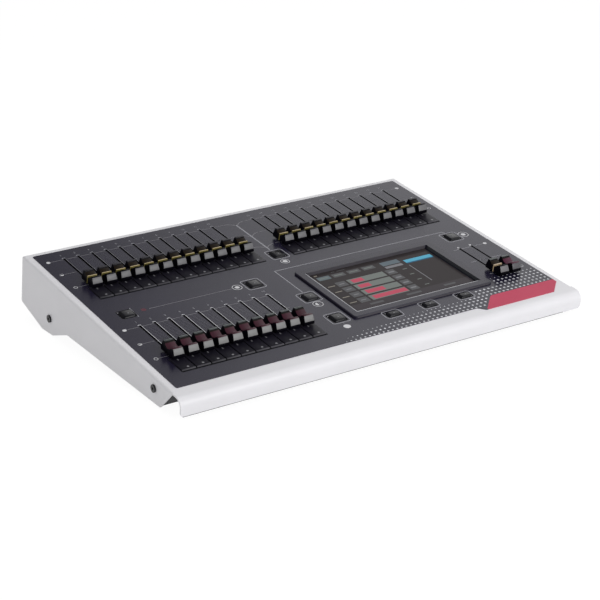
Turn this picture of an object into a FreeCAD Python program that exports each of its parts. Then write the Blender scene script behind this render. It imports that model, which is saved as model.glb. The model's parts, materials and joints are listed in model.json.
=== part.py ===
"""Lighting control desk: folded metal case, printed fascia, fader banks, keys and touch display.

Two frames are used.  The desk frame is the part's own: +X to the operator's right, +Y to the
rear, +Z up, with the origin on the ground under the middle of the desk.  The deck frame lies on
the sloping top: its origin is the middle of the fascia's front edge on the sheet metal, x runs
right, y runs up the slope and z stands on the sheet.  Deck pieces are drawn in the deck frame
and get one shared Placement.  The rear wall has a frame of its own in the same way.
All lengths are millimetres and all angles are degrees.
"""
import FreeCAD
import Part
import Sketcher
import math
import os
from FreeCAD import Placement, Rotation, Vector

# name, value, meaning
SIZES = [
    # case
    ("deck_pitch", 8.5, "slope of the top, rising to the rear"),
    ("fascia_width", 442.0, "printed overlay, side to side"),
    ("fascia_depth", 291.0, "printed overlay, front edge to rear edge"),
    ("fascia_thickness", 0.5, "polycarbonate overlay"),
    ("fascia_corner", 2.0, "corner radius of the overlay"),
    ("fascia_border", 7.2, "bare metal round the overlay"),
    ("sheet", 1.5, "thickness of the folded sheet metal"),
    ("bend_radius", 2.4, "outside radius of the folds"),
    ("fit", 0.3, "clearance between pieces that are assembled by hand"),
    ("rear_wall", 52.0, "height of the rear wall, measured square to the deck"),
    ("rear_lean", 4.1, "how far the foot of the rear wall stands behind its top"),
    ("front_height", 22.8, "from the cheek's lowest line to the deck's front edge"),
    ("toe_setback", 18.7, "front bottom corner of the cheek behind the deck's front edge"),
    ("arch_end", 203.2, "where the hollow under the cheek is highest"),
    ("arch_rise", 10.8, "height of that hollow"),
    ("heel_start", 237.0, "front end of the flat heel"),
    ("heel_length", 24.0, "length of the flat heel"),
    ("cheek_front", 5.2, "the cheek's upper front corner ahead of the fascia edge"),
    ("cheek_corner", 2.5, "radius of the cheek's lower corners"),
    ("rear_flange", 8.0, "lip folded down over the rear wall"),
    ("lip_reach", 20.8, "nose of the rolled front edge ahead of the fascia edge"),
    ("lip_radius", 8.5, "outside radius of the rolled front edge"),
    ("lip_drop", 16.8, "bottom of the rolled edge below the deck"),
    ("lip_corner", 4.0, "corner radius at both ends of the rolled edge"),
    ("pan_inset", 0.8, "base pan inside the cheek's outline"),
    # fascia tab at the front right
    ("tab_left", 111.8, "left end of the tab's slanting edge"),
    ("tab_reach", 6.8, "tab ahead of the fascia's front edge"),
    ("tab_chamfer", 17.2, "sloping corner at the right end, along the front"),
    ("tab_chamfer_rise", 16.5, "the same corner, along the side"),
    # fader banks
    ("column_pitch", 15.5, "spacing of faders and flash keys"),
    ("column_margin", 26.0, "outermost fader inside the side of the fascia"),
    ("rear_zero", 211.5, "rear banks: lever at the zero mark"),
    ("front_zero", 53.3, "front banks: lever at the zero mark"),
    ("fader_travel", 60.0, "travel of every fader"),
    ("slot_width", 2.2, "slot in the fascia"),
    ("slot_relief", 0.6, "sheet metal kept back from the slot, each side"),
    ("lever_thickness", 1.2, "steel lever, across the slot"),
    ("lever_width", 3.0, "steel lever, along the slot"),
    ("lever_clearance", 0.5, "lever to the end of its slot"),
    ("track_width", 9.0, "slide potentiometer case"),
    ("track_height", 8.0, "slide potentiometer case"),
    ("track_wall", 0.8, "wall of that case"),
    ("carriage_length", 8.0, "slider inside the case"),
    ("carriage_height", 4.2, "slider inside the case"),
    ("carriage_clearance", 0.3, "slider to the case walls"),
    ("carriage_overrun", 0.4, "slider to the case ends at full travel"),
    # fader caps
    ("cap_crest", 9.6, "crest from the middle of the cap"),
    ("cap_crest_height", 12.0, "crest above the deck"),
    ("cap_valley_height", 8.3, "saddle above the deck"),
    ("cap_brow", 12.3, "widest point of the cap from its middle"),
    ("cap_brow_height", 6.0, "widest point above the deck"),
    ("cap_foot", 11.4, "foot of the cap from its middle"),
    ("cap_foot_height", 2.5, "foot above the deck"),
    ("cap_top_width", 9.8, "cap at the crests"),
    ("cap_foot_width", 11.4, "cap at its foot"),
    ("cap_wall", 1.4, "wall of the hollow cap"),
    ("cap_socket_depth", 4.5, "how deep the lever stands in the cap"),
    ("cap_socket_wall", 1.0, "wall of the cap's socket round the lever"),
    ("cap_socket_fit", 0.04, "lever in the cap's socket"),
    # keys
    ("flash_length", 24.8, "flash key, front to rear"),
    ("rear_flash_front", 179.8, "front edge of the rear flash keys"),
    ("front_flash_front", 22.8, "front edge of the front flash keys"),
    ("aux_size", 13.6, "square auxiliary key"),
    ("aux_row", 141.0, "auxiliary keys between the banks, from the fascia's front edge"),
    ("master_margin", 31.8, "key over the masters inside the side of the fascia"),
    ("centre_key", 1.5, "key between the rear banks, right of the centre line"),
    ("centre_key_rise", 7.7, "the same key behind the front edge of the rear flash keys"),
    ("side_key_margin", 13.95, "keys beside the display, left of its frame"),
    ("side_key_rise", 4.1, "rear one of them behind the middle of the display"),
    ("side_key_pitch", 47.8, "spacing of those two keys"),
    ("soft_margin", 7.7, "keys under the display, ahead of its frame"),
    ("soft_first", 44.8, "first of them, left of the middle of the display"),
    ("soft_pitch", 43.2, "spacing of the keys under the display"),
    ("soft_length", 8.6, "key under the display, front to rear"),
    ("key_gap", 0.35, "gap round every key"),
    ("key_height", 1.6, "key top above the sheet metal"),
    ("key_bevel", 0.9, "fall of the key's front and rear bevel"),
    ("key_bevel_run", 2.0, "length of that bevel"),
    ("key_thickness", 3.6, "key from its top to its underside"),
    ("key_travel", 0.8, "travel of every key"),
    ("stem_width", 4.0, "square stem under a key"),
    ("switch_width", 6.2, "square switch body"),
    ("switch_height", 3.6, "switch body above the board"),
    ("plunger_width", 3.4, "square plunger of the switch"),
    ("plunger_height", 0.95, "plunger above the switch body"),
    ("plunger_depth", 2.4, "plunger inside the switch body"),
    ("plunger_clearance", 0.15, "plunger to the switch body"),
    # touch display
    ("display_x", 75.5, "middle of the display from the centre line"),
    ("display_y", 88.6, "middle of the display from the fascia's front edge"),
    ("window_width", 156.8, "cut-out that the display's frame stands in"),
    ("window_depth", 97.2, "cut-out that the display's frame stands in"),
    ("window_corner", 2.0, "corner radius of the cut-out"),
    ("frame_flange", 5.0, "frame over the overlay, outside the cut-out"),
    ("frame_border", 8.5, "frame from its outer edge to its opening"),
    ("frame_rise", 2.3, "frame above the overlay"),
    ("frame_corner", 3.0, "corner radius of the frame"),
    ("frame_chamfer", 0.8, "chamfer round the top of the frame"),
    ("glass_sink", 3.6, "glass below the top of the frame"),
    ("glass_margin", 1.8, "glass behind the edge of the frame's opening"),
    ("glass_thickness", 1.6, "cover glass with the touch layer"),
    ("panel_margin", 1.5, "display panel inside the glass edge"),
    # boards
    ("board_thickness", 1.6, "circuit board"),
    ("board_clearance", 6.2, "board under the deck to the tips of the case screws"),
    ("board_front", 9.0, "its front edge"),
    ("board_depth", 275.0, "front to rear"),
    ("processor_left", 186.0, "left end of the processor board from the centre line"),
    ("processor_width", 306.0, "processor board"),
    ("processor_depth", 56.0, "processor board"),
    # rear wall
    ("socket_row", 27.0, "middle of the sockets below the top of the rear wall"),
    ("dmx_first", 60.0, "first five-pin socket from the centre line"),
    ("dmx_pitch", 40.0, "spacing of the two five-pin sockets"),
    ("dmx_flange_width", 26.0, "flange"),
    ("dmx_flange_height", 31.0, "flange"),
    ("dmx_flange", 2.0, "flange thickness"),
    ("dmx_barrel", 11.0, "radius of the barrel behind the flange"),
    ("dmx_depth", 20.0, "barrel behind the flange"),
    ("dmx_groove_outer", 9.6, "ring groove that takes the plug's shell"),
    ("dmx_groove_inner", 7.9, "inner radius of that groove"),
    ("dmx_groove_depth", 10.0, "depth of that groove"),
    ("ethernet_x", 12.0, "network socket, from the centre line to the left"),
    ("ethernet_width", 16.0, "network socket shell"),
    ("ethernet_height", 13.6, "network socket shell"),
    ("ethernet_depth", 18.0, "network socket shell"),
    ("ethernet_mouth_width", 11.8, "mouth for the plug"),
    ("ethernet_mouth_height", 8.2, "mouth for the plug"),
    ("ethernet_mouth_depth", 13.0, "mouth for the plug"),
    ("usb_first", 42.0, "first USB socket, from the centre line to the left"),
    ("usb_pitch", 24.0, "spacing of the USB sockets"),
    ("usb_width", 14.6, "USB socket shell"),
    ("usb_height", 7.4, "USB socket shell"),
    ("usb_depth", 15.0, "USB socket shell"),
    ("usb_mouth_width", 12.4, "mouth for the plug"),
    ("usb_mouth_height", 4.8, "mouth for the plug"),
    ("usb_mouth_depth", 11.0, "mouth for the plug"),
    ("usb_tongue", 1.9, "thickness of the tongue in the mouth"),
    ("socket_proud", 0.6, "shells stand out of the rear wall"),
    ("contact_setback", 1.0, "tongue or pin behind the face of its socket"),
    ("inlet_x", 170.0, "power inlet, from the centre line to the left"),
    ("inlet_radius", 6.0, "threaded barrel of the power inlet"),
    ("inlet_nut_flats", 14.0, "hexagon nut on the outside of the wall, across flats"),
    ("inlet_nut", 2.2, "thickness of that nut"),
    ("inlet_depth", 14.0, "power inlet behind the wall"),
    ("inlet_mouth", 3.3, "radius of the mouth"),
    ("inlet_mouth_depth", 10.0, "depth of the mouth"),
    ("inlet_pin", 1.05, "radius of the centre pin"),
    ("switch_x", 138.0, "power switch, from the centre line to the left"),
    ("rocker_length", 16.6, "rocker, side to side"),
    ("rocker_height", 10.6, "rocker, up and down"),
    ("rocker_tilt", 7.0, "rocker off its middle position"),
    ("rocker_reach", 3.0, "from the pivot to the middle of the rocker's face"),
    ("rocker_depth", 4.7, "rocker below its pivot"),
    ("rocker_gap", 0.7, "gap round the rocker, for the swing of its ends"),
    ("rocker_pin", 1.0, "radius of the rocker's pivot pin"),
    ("rocker_pin_clearance", 0.05, "pivot pin in its bore"),
    ("bezel_rim", 1.9, "rim of the power switch round the rocker"),
    ("bezel_thickness", 1.8, "rim on the outside of the wall"),
    ("switch_body_depth", 17.0, "power switch behind the wall"),
    # fasteners and feet
    ("screw_radius", 2.0, "case screw"),
    ("screw_length", 8.0, "case screw under its head"),
    ("screw_head_radius", 3.8, "button head"),
    ("screw_head", 1.6, "height of the button head"),
    ("screw_socket", 2.5, "hexagon socket, across flats"),
    ("screw_socket_depth", 1.0, "hexagon socket"),
    ("screw_hole_clearance", 0.25, "hole in the cheek round the screw, on the radius"),
    ("thread_clearance", 0.05, "tapped hole in the pan round the screw, on the radius"),
    ("front_screw_y", 26.6, "front case screw on the deck"),
    ("front_screw_z", 11.6, "front case screw below the deck"),
    ("rear_screw_y", 237.3, "rear case screw on the deck"),
    ("rear_screw_z", 41.8, "rear case screw below the deck"),
    ("foot_height", 2.0, "rubber foot below the cheeks"),
    ("foot_radius", 7.0, "rubber foot"),
    ("foot_inset", 26.0, "foot from the side of the desk"),
    ("front_foot_y", 34.0, "front feet behind the deck's front edge"),
]

TOUCH = 1e-6  # two places closer than this are the same
PAST = 1.0  # how far a cutter reaches past what it cuts

REAR_COLUMNS = 12
FRONT_COLUMNS = 10
MASTER_COLUMNS = 2

# folds of the cap's saddle, as parts of the way from its middle to its crest
SADDLE = (-1.0, -0.6, -0.2, 0.2, 0.6, 1.0)


class Size:
    """A length or angle that knows its number and the spreadsheet expression it comes from."""

    def __init__(self, value, text):
        self.value = float(value)
        self.text = text

    @staticmethod
    def of(item):
        return item if isinstance(item, Size) else Size(item, repr(float(item)))

    def __add__(self, other):
        other = Size.of(other)
        return Size(self.value + other.value, f"({self.text} + {other.text})")

    def __sub__(self, other):
        other = Size.of(other)
        return Size(self.value - other.value, f"({self.text} - {other.text})")

    def __mul__(self, other):
        other = Size.of(other)
        return Size(self.value * other.value, f"({self.text} * {other.text})")

    def __truediv__(self, other):
        other = Size.of(other)
        return Size(self.value / other.value, f"({self.text} / {other.text})")

    def __neg__(self):
        return self * -1

    def __float__(self):
        return self.value


class Sheet:
    """The spreadsheet of driving dimensions; each one is read as an attribute."""

    def __init__(self, document, rows):
        self._cells = document.addObject("Spreadsheet::Sheet", "Sizes")
        for number, (name, value, meaning) in enumerate(rows, start=1):
            self._cells.set(f"A{number}", meaning)
            self._cells.set(f"B{number}", str(value))
            self._cells.setAlias(f"B{number}", name)
        document.recompute()

    def __getattr__(self, name):
        return Size(self._cells.get(name), f"Sizes.{name}")


doc = FreeCAD.newDocument("LightingDesk")
S = Sheet(doc, SIZES)
PIECES = []


# ---------------------------------------------------------------- frames
def case_width():
    """Outside width over both cheeks."""
    return S.fascia_width + S.fascia_border * 2


def deck_end():
    """Deck y of the rear edge of the case."""
    return S.fascia_depth + S.fascia_border


def rear_lean_angle():
    """Angle of the rear wall from square to the deck."""
    return math.degrees(math.atan2(float(S.rear_lean), float(S.rear_wall)))


def desk_point(y, z):
    """Turn a deck point into desk directions, still counted from the deck's front edge."""
    pitch = math.radians(float(S.deck_pitch))
    return y * math.cos(pitch) - z * math.sin(pitch), y * math.sin(pitch) + z * math.cos(pitch)


def deck_point(y, z):
    """The reverse of desk_point."""
    pitch = math.radians(float(S.deck_pitch))
    return y * math.cos(pitch) + z * math.sin(pitch), z * math.cos(pitch) - y * math.sin(pitch)


def foremost_y():
    """Desk y of the rolled edge's nose, from the deck's front edge."""
    radius = float(S.lip_radius)
    centre_y, _ = desk_point(radius - float(S.lip_reach), -radius)
    return centre_y - radius


def rearmost_y():
    """Desk y of the rounded corner at the foot of the rear wall, from the deck's front edge."""
    corner = float(S.cheek_corner)
    centres = inset(case_outline(), [corner] * 7)
    centre_y, _ = desk_point(*centres[1])
    return centre_y + corner


def deck_placement():
    """Stand the deck on its slope, with the origin on the ground below the middle."""
    shift = Vector(0, -(foremost_y() + rearmost_y()) / 2, float(S.front_height) + float(S.foot_height))
    return Placement(shift, Rotation(Vector(1, 0, 0), float(S.deck_pitch)))


def wall_placement():
    """Rear wall frame in the deck frame: y points out of the wall and z up along it."""
    return Placement(Vector(0, float(deck_end()), 0), Rotation(Vector(1, 0, 0), rear_lean_angle()))


# ---------------------------------------------------------------- small tools
def keep(piece, label, placement=None):
    """Register a finished sub-part under its own Label."""
    piece.Label = label
    PIECES.append((piece, label, placement or Placement()))
    return piece


def feature(label, shape, placement=None):
    """A sub-part whose shape is worked out with Part's own functions."""
    piece = doc.addObject("Part::Feature", label)
    piece.Shape = shape
    return keep(piece, label, placement)


def block(name, size, corner):
    """Part::Box with length, width and height and its lower corner bound to the sheet."""
    box = doc.addObject("Part::Box", name)
    for side, value in zip(("Length", "Width", "Height"), size):
        box.setExpression(side, Size.of(value).text)
    for axis, value in zip("xyz", corner):
        box.setExpression(f".Placement.Base.{axis}", Size.of(value).text)
    return box


def compound(label, links, placement=None):
    """A sub-part made of several separate solids."""
    group = doc.addObject("Part::Compound", label)
    group.Links = links
    return keep(group, label, placement)


def prism(points, axis, start, length):
    """Extrude a closed outline of 3-D points along an axis."""
    loop = [point + axis * start for point in points]
    return Part.Face(Part.makePolygon(loop + loop[:1])).extrude(axis * length)


def hexagon(flats):
    """Corners of a regular hexagon across the Z axis, from its size across flats."""
    corner = Vector(flats / 2 / math.cos(math.pi / 6), 0, 0)
    return [Rotation(Vector(0, 0, 1), 60 * step).multVec(corner) for step in range(6)]


def rounded_wire(corners):
    """Closed outline in the YZ plane; each corner is (y, z, radius), arcs worked out here."""
    edges = []
    ends = []
    count = len(corners)
    for index, (y, z, radius) in enumerate(corners):
        here = Vector(0, y, z)
        before = Vector(0, *corners[index - 1][:2]) - here
        after = Vector(0, *corners[(index + 1) % count][:2]) - here
        before.normalize()
        after.normalize()
        half = before.getAngle(after) / 2
        run = radius / math.tan(half) if radius else 0.0
        start = here + before * run
        end = here + after * run
        if radius:
            middle = (before + after).normalize()
            crown = here + middle * (radius / math.sin(half) - radius)
            edges.append((index, Part.Arc(start, crown, end).toShape()))
        ends.append((start, end))
    for index in range(count):
        start = ends[index][1]
        end = ends[(index + 1) % count][0]
        edges.append((index + 0.5, Part.LineSegment(start, end).toShape()))
    ordered = [edge for _, edge in sorted(edges, key=lambda item: item[0])]
    return Part.Wire(ordered)


def across(wire, half_width):
    """Extrude a YZ outline across the desk, as far to the left as to the right."""
    face = Part.Face(wire)
    face.translate(Vector(-half_width, 0, 0))
    return face.extrude(Vector(2 * half_width, 0, 0))


def inset(points, distances):
    """Move each side of a convex-or-not outline inwards by its own distance.

    Side i runs from point i to point i + 1; the outline runs clockwise in the YZ plane.
    """
    lines = []
    count = len(points)
    for index, distance in enumerate(distances):
        y1, z1 = points[index]
        y2, z2 = points[(index + 1) % count]
        length = math.hypot(y2 - y1, z2 - z1)
        along = ((y2 - y1) / length, (z2 - z1) / length)
        inward = (along[1], -along[0])
        lines.append(((y1 + inward[0] * distance, z1 + inward[1] * distance), along))
    corners = []
    for index in range(count):
        (py, pz), (ay, az) = lines[index - 1]
        (qy, qz), (by, bz) = lines[index]
        step = ((qy - py) * bz - (qz - pz) * by) / (ay * bz - az * by)
        corners.append((py + ay * step, pz + az * step))
    return corners


def slab(x, y, width, depth, low, high, corner=0.0):
    """Rectangular block centred on x, y, with its upright edges rounded."""
    box = Part.makeBox(width, depth, high - low, Vector(x - width / 2, y - depth / 2, low))
    if corner:
        upright = [edge for edge in box.Edges if abs(edge.tangentAt(0).z) > 0.5]
        box = box.makeFillet(corner, upright)
    return box


def columns(first, count):
    """Middles of a bank's columns, from left to right."""
    return [first + float(S.column_pitch) * index for index in range(count)]


def body_plane(body, role):
    """One of the body's own origin planes."""
    return next(plane for plane in body.Origin.OriginFeatures if plane.Role == role)


def sketch(body, name, role, corners, lift=None):
    """Closed sketch on an origin plane, with every corner bound to the sheet.

    corners holds (horizontal, vertical) Sizes.  lift raises the sketch off its plane.
    """
    drawing = body.newObject("Sketcher::SketchObject", name)
    drawing.AttachmentSupport = (body_plane(body, role), [""])
    drawing.MapMode = "FlatFace"
    if lift is not None:
        drawing.setExpression(".AttachmentOffset.Base.z", Size.of(lift).text)
    points = [Vector(float(x), float(y), 0) for x, y in corners]
    count = len(points)
    for index, start in enumerate(points):
        drawing.addGeometry(Part.LineSegment(start, points[(index + 1) % count]), False)
    for index in range(count):
        following = (index + 1) % count
        drawing.addConstraint(Sketcher.Constraint("Coincident", index, 2, following, 1))
    for index, corner in enumerate(corners):
        for kind, value in zip(("DistanceX", "DistanceY"), corner):
            value = Size.of(value)
            rule = Sketcher.Constraint(kind, -1, 1, index, 1, value.value)
            number = drawing.addConstraint(rule)
            drawing.setExpression(f"Constraints[{number}]", value.text)
    return drawing


def extrude(body, kind, name, drawing, length=None, symmetric=False, reverse=False):
    """Pad or Pocket of a sketch; a Pocket with no length goes through everything."""
    step = body.newObject(f"PartDesign::{kind}", name)
    step.Profile = drawing
    if symmetric:
        step.SideType = "Symmetric"
    step.Reversed = reverse
    if length is None:
        step.Type = "ThroughAll"
    else:
        step.setExpression("Length", Size.of(length).text)
    doc.recompute()
    return step


def rectangle(x1, y1, x2, y2):
    """Corners of a rectangle, anticlockwise."""
    return [(x1, y1), (x2, y1), (x2, y2), (x1, y2)]


# ---------------------------------------------------------------- case
def case_outline():
    """Side view of the case below the deck's sheet, clockwise from the rear in the deck frame."""
    low = -float(S.front_height)
    heel = float(S.heel_start)
    sheet = float(S.sheet)
    slope = float(S.rear_lean) / float(S.rear_wall)
    return [
        (float(deck_end()) + slope * sheet, -sheet),
        (float(deck_end() + S.rear_lean), -float(S.rear_wall)),
        deck_point(heel + float(S.heel_length), low),
        deck_point(heel, low),
        deck_point(float(S.arch_end), low + float(S.arch_rise)),
        deck_point(float(S.toe_setback), low),
        (-float(S.cheek_front), -sheet),
    ]


def openings(relief=0.0):
    """Cutters for everything that reaches through the deck; relief widens the fader slots."""
    low = -float(S.sheet) * 3
    high = float(S.fascia_thickness) * 3
    tools = []
    slot_length = float(S.fader_travel + S.lever_width + S.lever_clearance * 2) + 2 * relief
    slot = float(S.slot_width) + 2 * relief
    for first, count, zero in fader_banks():
        for x in columns(first, count):
            tools.append(slab(x, zero + float(S.fader_travel) / 2, slot, slot_length, low, high))
    for _, first, count, front in flash_banks():
        width = float(S.column_pitch) * count + float(S.key_gap)
        length = float(S.flash_length + S.key_gap * 2)
        middle = first + float(S.column_pitch) * (count - 1) / 2
        tools.append(slab(middle, front + float(S.flash_length) / 2, width, length, low, high))
    for _, x, y, length in single_keys():
        gap = 2 * float(S.key_gap)
        tools.append(slab(x, y, float(S.aux_size) + gap, float(length) + gap, low, high))
    tools.append(slab(float(S.display_x), float(S.display_y), float(S.window_width),
                      float(S.window_depth), low, high, float(S.window_corner)))
    return Part.makeCompound(tools)


def outer_column():
    """Outermost fader from the centre line."""
    return float(S.fascia_width / 2 - S.column_margin)


def fader_banks():
    """First column, number of columns and zero mark of each fader bank."""
    outer = outer_column()
    pitch = float(S.column_pitch)
    rear = float(S.rear_zero)
    front = float(S.front_zero)
    return [
        (-outer, REAR_COLUMNS, rear),
        (outer - pitch * (REAR_COLUMNS - 1), REAR_COLUMNS, rear),
        (-outer, FRONT_COLUMNS, front),
        (outer - pitch * (MASTER_COLUMNS - 1), MASTER_COLUMNS, front),
    ]


def flash_banks():
    """Node name, first column, number of keys and front edge of each flash key bank."""
    outer = outer_column()
    right = outer - float(S.column_pitch) * (REAR_COLUMNS - 1)
    return [
        ("flash_keys_rear_left", -outer, REAR_COLUMNS, float(S.rear_flash_front)),
        ("flash_keys_rear_right", right, REAR_COLUMNS, float(S.rear_flash_front)),
        ("flash_keys_front", -outer, FRONT_COLUMNS, float(S.front_flash_front)),
    ]


def frame_size():
    """Width and depth of the display's frame, its flange over the overlay included."""
    flange = S.frame_flange * 2
    return S.window_width + flange, S.window_depth + flange


def aux_keys():
    """Node name, x and y of the square auxiliary keys."""
    row = float(S.aux_row)
    first = -outer_column()
    beside = float(S.display_x - frame_size()[0] / 2 - S.side_key_margin)
    rear = float(S.display_y + S.side_key_rise)
    return [
        ("aux_key_left", first, row),
        ("aux_key_link", first + float(S.column_pitch) * (FRONT_COLUMNS - 1), row),
        ("aux_key_centre", float(S.centre_key), float(S.rear_flash_front + S.centre_key_rise)),
        ("aux_key_next", beside, rear),
        ("aux_key_back", beside, rear - float(S.side_key_pitch)),
        ("aux_key_master", float(S.fascia_width / 2 - S.master_margin), row),
    ]


def soft_keys():
    """Node name, x and y of the keys under the display."""
    first = S.display_x - S.soft_first
    row = float(S.display_y - frame_size()[1] / 2 - S.soft_margin)
    return [
        ("soft_key_left", float(first), row),
        ("soft_key_middle", float(first + S.soft_pitch), row),
        ("soft_key_right", float(first + S.soft_pitch * 2), row),
    ]


def single_keys():
    """Node name, x, y and length of every key that stands alone."""
    square = [(name, x, y, S.aux_size) for name, x, y in aux_keys()]
    return square + [(name, x, y, S.soft_length) for name, x, y in soft_keys()]


def lip_outline():
    """Section of the rolled front edge: flat, arc, then a short drop."""
    sheet = float(S.sheet)
    radius = float(S.lip_radius)
    nose = -float(S.lip_reach)
    bottom = -float(S.lip_drop)
    root = -float(S.cheek_front)
    turn = math.sqrt(0.5)
    centre = Vector(0, nose + radius, -radius)
    inner = radius - sheet

    def arc(size):
        """Quarter turn from the flat to the drop."""
        crown = centre + Vector(0, -size * turn, size * turn)
        return Part.Arc(centre + Vector(0, 0, size), crown, centre + Vector(0, -size, 0)).toShape()

    def line(y1, z1, y2, z2):
        """Straight stretch between two points of the section."""
        return Part.LineSegment(Vector(0, y1, z1), Vector(0, y2, z2)).toShape()

    return Part.Wire([
        line(root, 0, centre.y, 0),
        arc(radius),
        line(nose, -radius, nose, bottom),
        line(nose, bottom, nose + sheet, bottom),
        line(nose + sheet, bottom, nose + sheet, -radius),
        arc(inner),
        line(centre.y, -sheet, root, -sheet),
        line(root, -sheet, root, 0),
    ])


def screw_points():
    """Deck y and z of the two case screws in each cheek."""
    return [
        (float(S.front_screw_y), -float(S.front_screw_z)),
        (float(S.rear_screw_y), -float(S.rear_screw_z)),
    ]


def screw_holes(radius):
    """Bores for the case screws, right across the desk."""
    width = float(case_width())
    start = Vector(-width, 0, 0)
    return Part.makeCompound([
        Part.makeCylinder(radius, 2 * width, start + Vector(0, y, z), Vector(1, 0, 0))
        for y, z in screw_points()
    ])


def make_top_shell():
    """Top, both cheeks, the rear flange and the rolled front edge, folded from one sheet."""
    sheet = float(S.sheet)
    half = float(case_width()) / 2
    radius = float(S.bend_radius)
    outline = [(float(deck_end()), 0.0)] + case_outline()[1:] + [(-float(S.cheek_front), 0.0)]
    depth = float(S.rear_wall) * 2
    start = -float(S.cheek_front)
    length = float(deck_end()) + float(S.rear_lean) - start
    channel = slab(0, start + length / 2, 2 * half, length, -depth, 0)
    channel = channel.makeFillet(radius, top_edges(channel, half, 0))
    hollow = slab(0, start + length / 2, 2 * (half - sheet), length, -depth, -sheet)
    hollow = hollow.makeFillet(radius - sheet, top_edges(hollow, half - sheet, -sheet))
    corner = float(S.cheek_corner)
    radii = [radius] + [corner] * 5 + [0, 0]
    side = across(rounded_wire([point + (r,) for point, r in zip(outline, radii)]), half)
    shell = channel.cut(hollow).common(side)
    flange = slab(0, -sheet / 2, 2 * (half - sheet / 2), sheet, -float(S.rear_flange), 0)
    flange.Placement = wall_placement()
    shell = shell.fuse(flange.common(side))
    lip = across(lip_outline(), half)
    ends = [edge for edge in lip.Edges
            if abs(abs(edge.CenterOfMass.x) - half) < TOUCH
            and abs(edge.CenterOfMass.z + float(S.lip_drop)) < TOUCH]
    shell = shell.fuse(lip.makeFillet(float(S.lip_corner), ends)).removeSplitter()
    shell = shell.cut(openings(float(S.slot_relief)))
    shell = shell.cut(screw_holes(float(S.screw_radius + S.screw_hole_clearance)))
    return feature("top_shell", shell, deck_placement())


def top_edges(block_shape, half, height):
    """The two long upper edges of a block, where the cheeks are folded down."""
    return [edge for edge in block_shape.Edges
            if abs(abs(edge.CenterOfMass.x) - half) < TOUCH
            and abs(edge.CenterOfMass.z - height) < TOUCH]


def make_fascia():
    """Printed overlay with its tab at the front right."""
    half = float(S.fascia_width) / 2
    depth = float(S.fascia_depth)
    reach = float(S.tab_reach)
    left = float(S.tab_left)
    outline = [
        Vector(-half, 0, 0),
        Vector(left, 0, 0),
        Vector(left + reach, -reach, 0),
        Vector(half - float(S.tab_chamfer), -reach, 0),
        Vector(half, float(S.tab_chamfer_rise) - reach, 0),
        Vector(half, depth, 0),
        Vector(-half, depth, 0),
    ]
    overlay = prism(outline, Vector(0, 0, 1), 0, float(S.fascia_thickness))
    square = [edge for edge in overlay.Edges
              if abs(edge.tangentAt(edge.FirstParameter).z) > 0.5
              and (edge.CenterOfMass.y > depth - TOUCH or edge.CenterOfMass.x < -half + TOUCH)]
    overlay = overlay.makeFillet(float(S.fascia_corner), square)
    return feature("fascia_overlay", overlay.cut(openings()), deck_placement())


def pan_outline():
    """Outer side view of the base pan, a clearance inside the top shell."""
    gap = float(S.pan_inset)
    behind_flange = float(S.sheet + S.fit)
    return inset(case_outline(), [behind_flange] + [gap] * 5 + [float(S.fit)])


def make_base_pan():
    """Tray under the deck: floor with its hollow, front wall, rear wall and two end walls."""
    sheet = float(S.sheet)
    half = float(case_width() / 2 - S.sheet - S.fit)
    outer = pan_outline()
    inner = inset(outer, [sheet] * 6 + [-2 * sheet])
    corner = float(S.cheek_corner)

    def rounded(points, radius):
        """Fold radii at the floor's corners."""
        radii = [0] + [radius] * 5 + [0]
        return rounded_wire([point + (r,) for point, r in zip(points, radii)])

    pan = across(rounded(outer, corner), half)
    pan = pan.cut(across(rounded(inner, corner), half - sheet))
    pan = pan.cut(screw_holes(float(S.screw_radius + S.thread_clearance)))
    holes = Part.makeCompound(wall_cutters())
    holes.Placement = wall_placement()
    return feature("base_pan", pan.cut(holes), deck_placement())


# ---------------------------------------------------------------- faders
def make_cap():
    """Fader cap: saddle top, flared sides, hollow underneath with a socket for the lever."""
    body = doc.addObject("PartDesign::Body", "FaderCap")
    foot = S.cap_foot_height
    crest = S.cap_crest_height
    sag = crest - S.cap_valley_height
    saddle = [(S.cap_crest * part, S.cap_valley_height + sag * part ** 2) for part in SADDLE]
    outline = [
        (S.cap_foot, foot),
        (-S.cap_foot, foot),
        (-S.cap_brow, S.cap_brow_height),
        *saddle,
        (S.cap_brow, S.cap_brow_height),
    ]
    profile = sketch(body, "CapProfile", "YZ_Plane", outline)
    extrude(body, "Pad", "CapBlock", profile, S.cap_foot_width, symmetric=True)
    for side, name in ((1, "Right"), (-1, "Left")):
        edge = S.cap_foot_width / 2
        flare = sketch(body, f"CapFlare{name}", "XZ_Plane", [
            (edge * side, foot),
            ((edge + PAST) * side, foot),
            ((edge + PAST) * side, crest + PAST),
            (S.cap_top_width * (side / 2), crest + PAST),
            (S.cap_top_width * (side / 2), crest),
        ])
        extrude(body, "Pocket", f"CapSide{name}", flare, symmetric=True)
    inside = S.cap_foot_width / 2 - S.cap_wall
    post = S.lever_width / 2 + S.cap_socket_wall
    height = S.cap_valley_height - S.cap_wall - foot
    for side, name in ((1, "Rear"), (-1, "Front")):
        near = post * side
        far = (S.cap_foot - S.cap_wall) * side
        hollow = sketch(body, f"CapHollow{name}", "XY_Plane",
                        rectangle(-inside, near, inside, far), lift=foot)
        extrude(body, "Pocket", f"CapInside{name}", hollow, height, reverse=True)
    socket_x = S.lever_thickness / 2 + S.cap_socket_fit
    socket_y = S.lever_width / 2 + S.cap_socket_fit
    socket = sketch(body, "CapSocket", "XY_Plane",
                    rectangle(-socket_x, -socket_y, socket_x, socket_y), lift=foot)
    extrude(body, "Pocket", "CapLeverSocket", socket, S.cap_socket_depth, reverse=True)
    return body


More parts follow.
